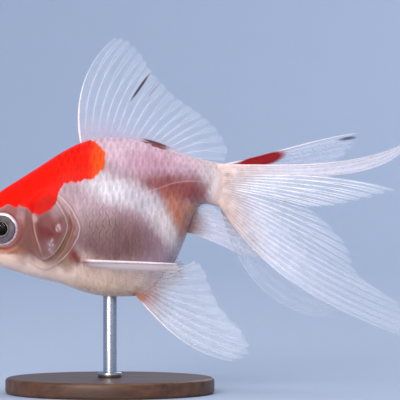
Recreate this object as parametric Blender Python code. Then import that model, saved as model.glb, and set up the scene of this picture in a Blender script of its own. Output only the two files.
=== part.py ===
"""A still, life-size ryukin goldfish on a small display stand.

The fish heads towards -X with its left side towards -Y. The origin is the centre of the
underside of the stand's base. Sizes are in millimetres, and MM turns them into metres.
"""

import math

import bmesh
import bpy
import numpy as np
from mathutils import Matrix, Vector

MM = 0.001
GAP = 0.3  # clearance between neighbouring pieces
LEFT, RIGHT = -1, 1  # the side of the fish along Y
INSET = 1.2  # how far a fin's rays start inside the flesh, before the flesh trims them

# The stand
BASE_LENGTH, BASE_WIDTH, BASE_THICKNESS = 46.0, 36.0, 3.5
BASE_EDGE = 0.8
ROD_RADIUS = 1.5
ROD_FOOT, ROD_TOP = 1.0, 24.0  # heights of the rod's two ends
SOCKET_SLACK = 0.3

# The body's lines: x, back height, belly height, half width, share of the height at which
# the section is widest, and how full its upper half is (2 is an ellipse, less is a keel).
BODY_LINES = (
    (-31.7, 35.7, 35.5, 0.1, 0.50, 2.0),
    (-31.1, 37.3, 33.8, 1.5, 0.48, 2.0),
    (-29.7, 39.4, 31.8, 2.8, 0.46, 2.0),
    (-27.4, 41.9, 29.7, 4.2, 0.44, 2.0),
    (-24.2, 44.6, 27.8, 5.7, 0.44, 2.0),
    (-19.8, 47.4, 26.3, 7.3, 0.43, 2.0),
    (-15.4, 50.2, 25.0, 8.5, 0.41, 1.95),
    (-11.0, 53.0, 24.0, 9.4, 0.39, 1.85),
    (-6.6, 55.2, 22.4, 10.1, 0.37, 1.75),
    (-2.2, 56.3, 21.3, 10.5, 0.36, 1.7),
    (2.2, 56.4, 21.1, 10.6, 0.36, 1.7),
    (6.6, 55.8, 21.4, 10.2, 0.36, 1.7),
    (9.9, 54.9, 22.9, 9.3, 0.36, 1.75),
    (13.2, 53.8, 26.6, 7.9, 0.37, 1.8),
    (15.4, 53.0, 30.8, 6.8, 0.38, 1.85),
    (17.1, 52.4, 35.2, 5.8, 0.42, 1.9),
    (18.6, 52.0, 39.4, 4.9, 0.46, 1.95),
    (20.4, 51.6, 41.4, 4.0, 0.50, 2.0),
    (23.1, 51.0, 41.0, 3.0, 0.52, 2.0),
    (26.0, 50.6, 39.9, 1.7, 0.54, 2.0),
)
BELLY_FULLNESS = 2.2  # the lower half of each section, a little boxier than an ellipse
RING_POINTS = 24
RINGS_PER_LINE = 2  # rings built for each interval of the lines

# Where the body is parted along X
MOUTH_END = -30.0
HEAD_END = -7.6
TRUNK_END = 18.4

# The head
EYE_X, EYE_HEIGHT = -23.4, 36.2
EYE_RADIUS, EYE_DEPTH = 3.8, 2.6  # half sizes across the disc and into the head
EYE_PROUD = 1.7  # how far the cornea stands out of the cheek
EYE_TURN = 12.0  # degrees that the eye looks forward of straight sideways
MOUTH_WIDTH, MOUTH_OPENING, MOUTH_DEPTH = 3.0, 0.5, 1.4
GILL_X, GILL_HEIGHT = -13.1, 35.4
GILL_LENGTH, GILL_TALL = 8.6, 15.8
GILL_LEAN = 6.0  # degrees that the gill cover's long axis leans back
GILL_PROUD, GILL_SUNK = 0.45, 0.8  # its outer and inner faces from the cheek's surface

# Fins. root is the line that the rays start from. Each row of rays is one key ray: its
# place on the root, its length, its heading above +X at root, middle and tip, and how far
# it splays from the fish's middle plane at root and tip, all in degrees.
FIN_THICKNESS = (0.9, 0.55)  # at root and margin
DORSAL = dict(
    root=((-6.2, 0, 54.4), (0.8, 0, 55.2), (8.4, 0, 54.0), (15.4, 0, 51.7)),
    rays=(
        (0.00, 26.6, 102, 74, 36, 0, 0),
        (0.10, 25.4, 97, 71, 45, 0, 0),
        (0.25, 21.2, 86, 66, 48, 0, 0),
        (0.40, 17.0, 76, 63, 50, 0, 0),
        (0.55, 14.0, 63, 51, 40, 0, 0),
        (0.70, 13.2, 48, 37, 26, 0, 0),
        (0.85, 12.8, 33, 21, 10, 0, 0),
        (0.95, 11.7, 14, 5, -4, 0, 0),
        (1.00, 10.0, 2, -5, -10, 0, 0),
    ),
)
PECTORAL = dict(
    root=((-6.9, 8.3, 29.4), (-6.4, 8.0, 28.0), (-6.0, 7.5, 26.6)),
    rays=(
        (0.00, 25.6, -1, -1, -1, 34, 27),
        (0.20, 26.2, -3, -4, -3, 31, 25),
        (0.50, 25.0, -8, -9, -7, 25, 21),
        (0.80, 19.5, -14, -15, -12, 18, 16),
        (1.00, 14.0, -18, -19, -17, 14, 13),
    ),
)
PELVIC = dict(
    root=((5.3, 3.4, 22.6), (7.5, 3.4, 23.7), (9.5, 3.3, 25.0)),
    rays=(
        (0.00, 27.8, -52, -37, -6, 14, 8),
        (0.15, 29.0, -48, -31, -12, 15, 9),
        (0.35, 26.4, -36, -25, -14, 17, 10),
        (0.50, 19.5, -27, -18, -10, 19, 11),
        (0.70, 14.6, -7, -3, 2, 22, 13),
        (0.85, 12.8, 12, 14, 16, 24, 14),
        (1.00, 10.8, 24, 25, 26, 25, 15),
    ),
)
ANAL = dict(
    root=((16.2, 0.8, 35.6), (18.0, 0.8, 41.8)),
    rays=(
        (0.00, 13.4, -14, -23, -28, 3, 5),
        (0.16, 18.6, -14, -22, -28, 3, 5),
        (0.50, 15.0, -9, -15, -20, 3, 4),
        (0.80, 7.4, -7, -10, -13, 2, 3),
        (1.00, 4.8, -5, -7, -9, 1, 2),
    ),
)
# The twin tail: each half is a fan that is split along its rays into lobes. reach is the
# length at which a lobe's rays take their tip heading.
TAIL_LOBES = (
    dict(
        name="tail_left_top",
        side=LEFT,
        root=((24.8, 0.75, 50.0), (24.85, 0.8, 48.0)),
        reach=45.0,
        rays=(
            (0.00, 45.5, 1, 4, 40, 3, 6),
            (0.33, 37.5, 0, 5, 38, 9, 7),
            (0.66, 30.0, -1, 3, 28, 15, 8),
            (1.00, 25.0, 0, 0, 4, 20, 8),
        ),
    ),
    dict(
        name="tail_left_middle",
        side=LEFT,
        root=((24.85, 0.8, 47.6), (24.9, 0.9, 45.5)),
        reach=45.0,
        rays=(
            (0.00, 39.5, -1, -4, -26, 24, 8),
            (0.33, 33.5, -3, -9, -26, 25, 9),
            (0.67, 27.0, -6, -14, -25, 26, 11),
            (1.00, 21.0, -8, -18, -24, 27, 12),
        ),
    ),
    dict(
        name="tail_left_low",
        side=LEFT,
        root=((24.9, 0.95, 45.0), (24.6, 1.4, 40.6)),
        reach=45.0,
        rays=(
            (0.00, 21.8, -10, -19, -25, 27, 12),
            (0.17, 31.2, -18, -25, -28, 28, 13),
            (0.38, 36.0, -25, -31, -32, 28, 14),
            (0.58, 46.0, -38, -30, -24, 28, 14),
            (0.83, 53.0, -50, -34, -22, 28, 13),
            (1.00, 54.5, -60, -36, -22, 28, 12),
        ),
    ),
    dict(
        name="tail_right_top",
        side=RIGHT,
        root=((24.8, 0.75, 50.0), (24.85, 0.8, 47.4)),
        reach=38.0,
        rays=(
            (0.00, 31.5, 11, 15, 2, 5, 10),
            (0.33, 28.5, 8, 12, 2, 8, 10),
            (0.66, 23.0, 4, 6, 0, 14, 10),
            (1.00, 18.0, -4, -4, -8, 20, 10),
        ),
    ),
    dict(
        name="tail_right_low",
        side=RIGHT,
        root=((24.85, 0.85, 46.9), (24.6, 1.4, 40.6)),
        reach=42.0,
        rays=(
            (0.00, 19.5, -8, -12, -17, 24, 10),
            (0.25, 26.0, -20, -22, -20, 26, 12),
            (0.50, 32.0, -38, -32, -20, 28, 13),
            (0.80, 39.0, -64, -41, -10, 28, 13),
            (1.00, 41.5, -80, -47, 0, 28, 12),
        ),
    ),
)
DORSAL_GRID, PAIRED_GRID, LOBE_GRID = (16, 8), (10, 7), (8, 10)  # cells across and along

# Finishes: colour, roughness, metallic
SKIN_WHITE = ((0.76, 0.62, 0.66), 0.35, 0.0)
SKIN_RED = ((0.86, 0.05, 0.02), 0.35, 0.0)
GILL_BROWN = ((0.42, 0.25, 0.24), 0.35, 0.0)
EYE_SILVER = ((0.10, 0.09, 0.10), 0.1, 0.0)
FIN_CLEAR = ((0.62, 0.66, 0.76), 0.4, 0.0)
DARK_WOOD = ((0.09, 0.05, 0.03), 0.45, 0.0)
STEEL = ((0.60, 0.60, 0.60), 0.3, 1.0)


def clear_scene():
    for found in list(bpy.data.objects):
        bpy.data.objects.remove(found)


def material(name, finish):
    colour, roughness, metallic = finish
    made = bpy.data.materials.new(name)
    made.use_nodes = True
    shader = made.node_tree.nodes["Principled BSDF"]
    shader.inputs["Base Color"].default_value = (*colour, 1.0)
    shader.inputs["Roughness"].default_value = roughness
    shader.inputs["Metallic"].default_value = metallic
    return made


def add_object(name, bm, finish, smooth=True):
    """An object from a bmesh in millimetres, with its normals facing out."""
    bmesh.ops.recalc_face_normals(bm, faces=bm.faces)
    bmesh.ops.scale(bm, vec=(MM, MM, MM), verts=bm.verts)
    mesh = bpy.data.meshes.new(name)
    bm.to_mesh(mesh)
    bm.free()
    if smooth:
        mesh.shade_smooth()
    mesh.materials.append(finish)
    made = bpy.data.objects.new(name, mesh)
    bpy.context.scene.collection.objects.link(made)
    return made


def add_cutter(name, bm):
    cutter = add_object(name, bm, None)
    cutter.hide_render = True
    cutter.display_type = "WIRE"
    return cutter


def cut(piece, cutter):
    boolean = piece.modifiers.new("cut by " + cutter.name, "BOOLEAN")
    boolean.operation = "DIFFERENCE"
    boolean.object = cutter


def smooth_curve(places, values, at):
    """Catmull-Rom curve through values (numbers or points) at increasing places."""
    places, values = np.asarray(places, float), np.asarray(values, float)
    at = min(max(at, places[0]), places[-1])
    i = min(int(np.searchsorted(places, at, side="right")) - 1, len(places) - 2)
    slopes = np.gradient(values, places, axis=0)
    span = places[i + 1] - places[i]
    t = (at - places[i]) / span
    return (
        (2 * t**3 - 3 * t**2 + 1) * values[i]
        + (t**3 - 2 * t**2 + t) * span * slopes[i]
        + (3 * t**2 - 2 * t**3) * values[i + 1]
        + (t**3 - t**2) * span * slopes[i + 1]
    )


# ---- body ----


def dense_lines():
    """The body's lines, smoothed, as columns from snout to tail root."""
    count = len(BODY_LINES)
    steps = np.linspace(0, count - 1, 20 * (count - 1) + 1)
    return np.array([smooth_curve(range(count), BODY_LINES, s) for s in steps]).T


LINES = dense_lines()


def section_at(x):
    """Back height, belly height, half width, widest height and upper fullness at x."""
    back, belly, half, share, fullness = (np.interp(x, LINES[0], c) for c in LINES[1:])
    return back, belly, half, belly + share * (back - belly), fullness


def flank(x, height):
    """How far the body's surface is from the middle plane at x and a height."""
    back, belly, half, widest, fullness = section_at(x)
    if height >= widest:
        rise, power = (height - widest) / (back - widest), fullness
    else:
        rise, power = (widest - height) / (widest - belly), BELLY_FULLNESS
    return half * (1 - min(rise, 1.0) ** power) ** (1 / power)


def section_ring(x, grow):
    """One closed section of the body, grown outwards by grow."""
    back, belly, half, widest, fullness = section_at(x)
    ring = []
    for k in range(RING_POINTS):
        turn = 2 * math.pi * k / RING_POINTS
        across, up = math.cos(turn), math.sin(turn)
        power = 2 / (fullness if up >= 0 else BELLY_FULLNESS)
        limit = back - widest if up >= 0 else widest - belly
        y = math.copysign(abs(across) ** power, across) * (half + grow)
        z = widest + math.copysign(abs(up) ** power, up) * (limit + grow)
        ring.append((x, y, z))
    return ring


def ring_places(start, end):
    """Where rings stand between start and end, close together where the lines are."""
    lines = [row[0] for row in BODY_LINES]
    steps = np.linspace(0, len(lines) - 1, RINGS_PER_LINE * (len(lines) - 1) + 1)
    all_places = [float(smooth_curve(range(len(lines)), lines, s)) for s in steps]
    inside = [x for x in all_places if start + GAP < x < end - GAP]
    return [start, *inside, end]


def body_bmesh(start, end, grow=0.0):
    """The body between two planes across X as a closed mesh."""
    bm = bmesh.new()
    rings = []
    for x in ring_places(start, end):
        rings.append([bm.verts.new(point) for point in section_ring(x, grow)])
    for near, far in zip(rings, rings[1:]):
        for k in range(RING_POINTS):
            after = (k + 1) % RING_POINTS
            bm.faces.new((near[k], near[after], far[after], far[k]))
    bm.faces.new(rings[0])
    bm.faces.new(reversed(rings[-1]))
    return bm


def oval_plate(x, height, length, tall, lean, side, proud, sunk, rounds=2, spokes=20):
    """An oval plate that follows the flank, from sunk below to proud above its surface."""
    bm = bmesh.new()
    turn = math.radians(lean)

    def spot(share, angle, off):
        along = 0.5 * length * share * math.cos(angle)
        up = 0.5 * tall * share * math.sin(angle)
        px = x + along * math.cos(turn) + up * math.sin(turn)
        pz = height + up * math.cos(turn) - along * math.sin(turn)
        return bm.verts.new((px, side * (flank(px, pz) + off), pz))

    faces = []
    for off in (proud, -sunk):
        centre = spot(0.0, 0.0, off)
        rims = []
        for r in range(1, rounds + 1):
            angles = (2 * math.pi * k / spokes for k in range(spokes))
            rims.append([spot(r / rounds, angle, off) for angle in angles])
        for k in range(spokes):
            after = (k + 1) % spokes
            bm.faces.new((centre, rims[0][k], rims[0][after]))
            for inner, outer in zip(rims, rims[1:]):
                bm.faces.new((inner[k], outer[k], outer[after], inner[after]))
        faces.append(rims[-1])
    for k in range(spokes):
        after = (k + 1) % spokes
        bm.faces.new((faces[0][k], faces[0][after], faces[1][after], faces[1][k]))
    return bm


def ellipsoid(centre, half_sizes, segments=16, rings=9, turn=0.0):
    bm = bmesh.new()
    bmesh.ops.create_uvsphere(bm, u_segments=segments, v_segments=rings, radius=1.0)
    bmesh.ops.scale(bm, vec=half_sizes, verts=bm.verts)
    spin = Matrix.Rotation(math.radians(turn), 3, "Z")
    bmesh.ops.rotate(bm, matrix=spin, verts=bm.verts)
    bmesh.ops.translate(bm, vec=centre, verts=bm.verts)
    return bm


def cylinder(radius, low, high, segments=24):
    bm = bmesh.new()
    bmesh.ops.create_cone(
        bm, cap_ends=True, segments=segments, radius1=radius, radius2=radius, depth=high - low
    )
    bmesh.ops.translate(bm, vec=(0, 0, (low + high) / 2), verts=bm.verts)
    return bm


def side_name(side):
    return "left" if side == LEFT else "right"


def build_mouth(skin):
    mouth = add_object("mouth", body_bmesh(BODY_LINES[0][0], MOUTH_END), skin)
    height = (section_at(MOUTH_END)[0] + section_at(MOUTH_END)[1]) / 2
    slit = ellipsoid(
        (BODY_LINES[0][0], 0, height),
        (MOUTH_DEPTH, MOUTH_WIDTH / 2, MOUTH_OPENING / 2),
        segments=16,
        rings=8,
    )
    cut(mouth, add_cutter("mouth_slit", slit))


def build_head(skin):
    return add_object("head", body_bmesh(MOUTH_END + GAP, HEAD_END), skin)


def build_eye(side, head, finish):
    """A flattened eyeball in a socket of the head."""
    depth = flank(EYE_X, EYE_HEIGHT) + EYE_PROUD - EYE_DEPTH
    centre = (EYE_X, side * depth, EYE_HEIGHT)
    name = side_name(side)
    ball = ellipsoid(centre, (EYE_RADIUS, EYE_DEPTH, EYE_RADIUS), turn=side * EYE_TURN)
    add_object("eye_" + name, ball, finish)
    room = (EYE_RADIUS + GAP, EYE_DEPTH + GAP, EYE_RADIUS + GAP)
    socket = ellipsoid(centre, room, turn=side * EYE_TURN)
    cut(head, add_cutter("socket_" + name, socket))


def build_gill_cover(side, head, finish):
    """The oval plate over the gills, let into the side of the head."""
    name = side_name(side)
    place = (GILL_X, GILL_HEIGHT)
    plate = oval_plate(*place, GILL_LENGTH, GILL_TALL, GILL_LEAN, side, GILL_PROUD, GILL_SUNK)
    add_object("gill_cover_" + name, plate, finish)
    recess = oval_plate(
        *place,
        GILL_LENGTH + 2 * GAP,
        GILL_TALL + 2 * GAP,
        GILL_LEAN,
        side,
        GILL_PROUD + 2.0,
        GILL_SUNK + GAP,
    )
    cut(head, add_cutter("gill_recess_" + name, recess))


def build_trunk(skin):
    """The trunk, with a socket in the belly for the stand's rod."""
    trunk = add_object("trunk", body_bmesh(HEAD_END + GAP, TRUNK_END), skin)
    hole = cylinder(ROD_RADIUS + SOCKET_SLACK, ROD_TOP - 12.0, ROD_TOP + SOCKET_SLACK)
    cut(trunk, add_cutter("belly_socket", hole))


def build_tail_root(skin):
    return add_object("tail_root", body_bmesh(TRUNK_END + GAP, BODY_LINES[-1][0]), skin)


# ---- fins ----


def ray_points(fan, u, side, cells):
    """Points along one ray: an arc whose heading and splay change on the way."""
    places = [row[0] for row in fan["rays"]]
    shape = smooth_curve(places, [row[1:] for row in fan["rays"]], u)
    length, *angles = (float(value) for value in shape)
    roots = fan["root"]
    point = smooth_curve(np.linspace(0, 1, len(roots)), roots, u)
    point = Vector((point[0], side * point[1], point[2]))
    reach = fan.get("reach", length)
    fine = 4  # integration steps for each cell
    step = length / (cells * fine)
    points = [point.copy()]
    for k in range(cells * fine):
        v = (k + 0.5) * step / reach
        heading = math.radians(
            angles[0] * (1 - v) * (1 - 2 * v)
            + angles[1] * 4 * v * (1 - v)
            + angles[2] * v * (2 * v - 1)
        )
        splay = math.radians(angles[3] + (angles[4] - angles[3]) * v)
        flat = math.cos(splay)
        point += step * Vector(
            (flat * math.cos(heading), side * math.sin(splay), flat * math.sin(heading))
        )
        if (k + 1) % fine == 0:
            points.append(point.copy())
    return points


def fan_bmesh(fan, side, grid):
    """A fin as a closed sheet: rays side by side, thick at the root and thin at the margin."""
    across, along = grid
    sheet = [ray_points(fan, i / across, side, along) for i in range(across + 1)]
    bm = bmesh.new()
    layers = ([], [])
    for i, ray in enumerate(sheet):
        rows = ([], [])
        for j, point in enumerate(ray):
            over = sheet[min(i + 1, across)][j] - sheet[max(i - 1, 0)][j]
            down = ray[min(j + 1, along)] - ray[max(j - 1, 0)]
            thick = FIN_THICKNESS[0] + (FIN_THICKNESS[1] - FIN_THICKNESS[0]) * j / along
            offset = over.cross(down).normalized() * thick / 2
            rows[0].append(bm.verts.new(point + offset))
            rows[1].append(bm.verts.new(point - offset))
        layers[0].append(rows[0])
        layers[1].append(rows[1])
    for layer in layers:
        for i in range(across):
            for j in range(along):
                corners = (layer[i][j], layer[i + 1][j], layer[i + 1][j + 1], layer[i][j + 1])
                bm.faces.new(corners)
    top, under = layers
    for i in range(across):
        for j in (0, along):
            bm.faces.new((top[i][j], top[i + 1][j], under[i + 1][j], under[i][j]))
    for j in range(along):
        for i in (0, across):
            bm.faces.new((top[i][j], top[i][j + 1], under[i][j + 1], under[i][j]))
    return bm


def build_dorsal(finish, flesh):
    cut(add_object("dorsal_fin", fan_bmesh(DORSAL, RIGHT, DORSAL_GRID), finish), flesh)


def build_paired_fins(finish, flesh):
    for label, fan in (("pectoral", PECTORAL), ("pelvic", PELVIC), ("anal", ANAL)):
        for side in (LEFT, RIGHT):
            name = f"{label}_fin_{side_name(side)}"
            cut(add_object(name, fan_bmesh(fan, side, PAIRED_GRID), finish), flesh)


def build_tail(finish, flesh):
    for fan in TAIL_LOBES:
        lobe = fan_bmesh(fan, fan["side"], LOBE_GRID)
        cut(add_object(fan["name"], lobe, finish), flesh)


# ---- stand ----


def build_stand(wood, steel):
    bm = cylinder(1.0, 0.0, BASE_THICKNESS, segments=36)
    bmesh.ops.scale(bm, vec=(BASE_LENGTH / 2, BASE_WIDTH / 2, 1.0), verts=bm.verts)
    rims = [e for e in bm.edges if abs(e.verts[0].co.z - e.verts[1].co.z) < 1e-6]
    bmesh.ops.bevel(bm, geom=rims, offset=BASE_EDGE, segments=2, profile=0.5, affect="EDGES")
    base = add_object("stand_base", bm, wood, smooth=False)
    hole = cylinder(ROD_RADIUS + SOCKET_SLACK, ROD_FOOT - SOCKET_SLACK, BASE_THICKNESS + 2.0)
    cut(base, add_cutter("base_hole", hole))
    add_object("stand_rod", cylinder(ROD_RADIUS, ROD_FOOT, ROD_TOP), steel)


def main():
    clear_scene()
    white, red = material("skin_white", SKIN_WHITE), material("skin_red", SKIN_RED)
    gills, eyes = material("gill_brown", GILL_BROWN), material("eye_silver", EYE_SILVER)
    clear = material("fin_clear", FIN_CLEAR)
    flesh = add_cutter("flesh", body_bmesh(BODY_LINES[0][0], BODY_LINES[-1][0] + GAP, GAP))
    build_mouth(white)
    head = build_head(red)
    for side in (LEFT, RIGHT):
        build_gill_cover(side, head, gills)
        build_eye(side, head, eyes)
    build_trunk(white)
    build_tail_root(white)
    build_dorsal(clear, flesh)
    build_paired_fins(clear, flesh)
    build_tail(clear, flesh)
    build_stand(material("dark_wood", DARK_WOOD), material("steel", STEEL))


main()
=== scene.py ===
import math
import bpy
import numpy as np
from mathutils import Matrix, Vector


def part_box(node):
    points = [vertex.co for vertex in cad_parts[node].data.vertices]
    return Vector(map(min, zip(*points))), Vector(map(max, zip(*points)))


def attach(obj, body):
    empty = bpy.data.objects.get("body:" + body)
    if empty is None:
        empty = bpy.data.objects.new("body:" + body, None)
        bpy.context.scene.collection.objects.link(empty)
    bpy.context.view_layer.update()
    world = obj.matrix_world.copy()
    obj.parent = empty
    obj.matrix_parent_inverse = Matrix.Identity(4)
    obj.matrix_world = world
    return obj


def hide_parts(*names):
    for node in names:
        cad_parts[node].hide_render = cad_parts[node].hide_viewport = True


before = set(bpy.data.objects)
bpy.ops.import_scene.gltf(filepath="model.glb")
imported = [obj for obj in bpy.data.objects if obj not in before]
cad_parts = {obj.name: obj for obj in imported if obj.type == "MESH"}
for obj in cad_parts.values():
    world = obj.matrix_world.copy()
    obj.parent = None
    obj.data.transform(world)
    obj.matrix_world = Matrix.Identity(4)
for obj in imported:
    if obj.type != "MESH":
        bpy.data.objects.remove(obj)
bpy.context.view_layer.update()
mm = 0.001  # shapes below are worked out in millimetres
print("solids loaded:", len(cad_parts), "nodes")


def linear(hexCode):
    # sRGB hex to linear colour
    parts = [int(hexCode[i:i + 2], 16) / 255 for i in (1, 3, 5)]
    return tuple(p / 12.92 if p <= 0.04045 else ((p + 0.055) / 1.055) ** 2.4 for p in parts) + (1.0,)


def curveThrough(places, values, at):
    # smooth curve through values (numbers or points) that stand at increasing places
    places, values = np.asarray(places, float), np.asarray(values, float)
    at = np.clip(np.asarray(at, float), places[0], places[-1])
    i = np.clip(np.searchsorted(places, at, side="right") - 1, 0, len(places) - 2)
    slopes = np.gradient(values, places, axis=0)
    span = places[i + 1] - places[i]
    t = (at - places[i]) / span
    if values.ndim > 1:
        t, span = t[..., None], span[..., None]
    return ((2 * t**3 - 3 * t**2 + 1) * values[i] + (t**3 - 2 * t**2 + t) * span * slopes[i]
            + (3 * t**2 - 2 * t**3) * values[i + 1] + (t**3 - t**2) * span * slopes[i + 1])


def ease(x, low, high):
    # 0 below low, 1 above high, smooth between
    t = np.clip((np.asarray(x, float) - low) / (high - low), 0, 1)
    return t * t * (3 - 2 * t)


def bump(x, middle, width):
    # 1 at the middle, falling to nothing about two widths away
    return np.exp(-(((np.asarray(x, float) - middle) / width) ** 2))


def gridFaces(rows, columns, wrap=False, first=0):
    # quads over a grid of points, row by row
    across = columns if wrap else columns - 1
    i, j = np.meshgrid(np.arange(rows - 1), np.arange(across), indexing="ij")
    k = (j + 1) % columns
    quads = np.stack([i * columns + j, (i + 1) * columns + j, (i + 1) * columns + k, i * columns + k], -1)
    return quads.reshape(-1, 4) + first


def gridRim(rows, columns):
    # the points round the edge of a grid, in order
    return ([i * columns for i in range(rows)] + [(rows - 1) * columns + j for j in range(1, columns)]
            + [i * columns + columns - 1 for i in range(rows - 2, -1, -1)] + list(range(columns - 2, 0, -1)))


def closedSheet(rows, columns):
    # the faces of a thin closed sheet: the points of its upper side come first, then those below
    sheet, rim, each = gridFaces(rows, columns), gridRim(rows, columns), rows * columns
    edge = [(a, b, b + each, a + each) for a, b in zip(rim, rim[1:] + rim[:1])]
    return np.vstack([sheet[:, ::-1], sheet + each, np.array(edge)])


def readTables(tables, row, column):
    # tables of points read between their rows and columns
    i, j = row.astype(int), column.astype(int)
    a, b = (row - i)[..., None], (column - j)[..., None]
    return [(1 - a) * ((1 - b) * t[i, j] + b * t[i, j + 1])
            + a * ((1 - b) * t[i + 1, j] + b * t[i + 1, j + 1]) for t in tables]


def unit(vectors):
    # vectors brought to length 1
    return vectors / np.maximum(np.linalg.norm(vectors, axis=-1, keepdims=True), 1e-9)


def gridNormals(points, wrap=False):
    # unit normals of a grid of points
    down = np.gradient(points, axis=0)
    if wrap:
        over = (np.roll(points, -1, axis=1) - np.roll(points, 1, axis=1)) / 2
    else:
        over = np.gradient(points, axis=1)
    return unit(np.cross(over, down))


def makePiece(name, points, faces, material, values):
    # a mesh piece from points in mm; values are per-point attributes that its material reads
    mesh = bpy.data.meshes.new(name)
    mesh.from_pydata((np.asarray(points, float) * mm).tolist(), [], [list(map(int, f)) for f in faces])
    for label, data in values.items():
        data = np.asarray(data, np.float32)
        kind = ("FLOAT_VECTOR", "vector") if data.ndim == 2 else ("FLOAT", "value")
        mesh.attributes.new(label, kind[0], "POINT").data.foreach_set(kind[1], data.ravel())
    mesh.shade_smooth()
    mesh.materials.append(material)
    piece = bpy.data.objects.new(name, mesh)
    bpy.context.scene.collection.objects.link(piece)
    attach(piece, "root")
    return piece


def bakeMap(piece, places):
    # one flat map of the body's own shape: a uv pair for every face corner
    layer = piece.data.uv_layers.new(name="OFBake")
    layer.data.foreach_set("uv", np.asarray(places, np.float32).ravel())


def fillInputs(tree, node, inputs):
    # each input takes a value, or a link from a socket or from the first open output of a node
    for key, value in inputs.items():
        if isinstance(value, bpy.types.Node):
            value = next(socket for socket in value.outputs if socket.enabled)
        if isinstance(value, bpy.types.NodeSocket):
            tree.links.new(value, node.inputs[key])
        else:
            node.inputs[key].default_value = value


def addNode(tree, kind, inputs=None, **settings):
    # one node with its own settings and its inputs' values and links
    node = tree.nodes.new("ShaderNode" + kind)
    for key, value in settings.items():
        setattr(node, key, value)
    fillInputs(tree, node, inputs or {})
    return node


def fillRamp(ramp, stops):
    # the stops of a new colour ramp, as (place, linear colour)
    elements = ramp.color_ramp.elements
    for k, (place, colour) in enumerate(stops):
        element = elements.new(place) if 0 < k < len(stops) - 1 else elements[-1 if k else 0]
        element.position, element.color = place, colour


def newMaterial(name):
    # a new material, its nodes, and the shader that its output already takes
    material = bpy.data.materials.new(name)
    material.use_nodes = True
    tree = material.node_tree
    return material, tree, tree.nodes["Principled BSDF"]


def limits(*values):
    # what a Map Range turns into what: from these two, to these two
    return dict(zip(("From Min", "From Max", "To Min", "To Max"), values))


noiseSpan = (0.3, 0.7)  # nearly all of a noise lies between these

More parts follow.
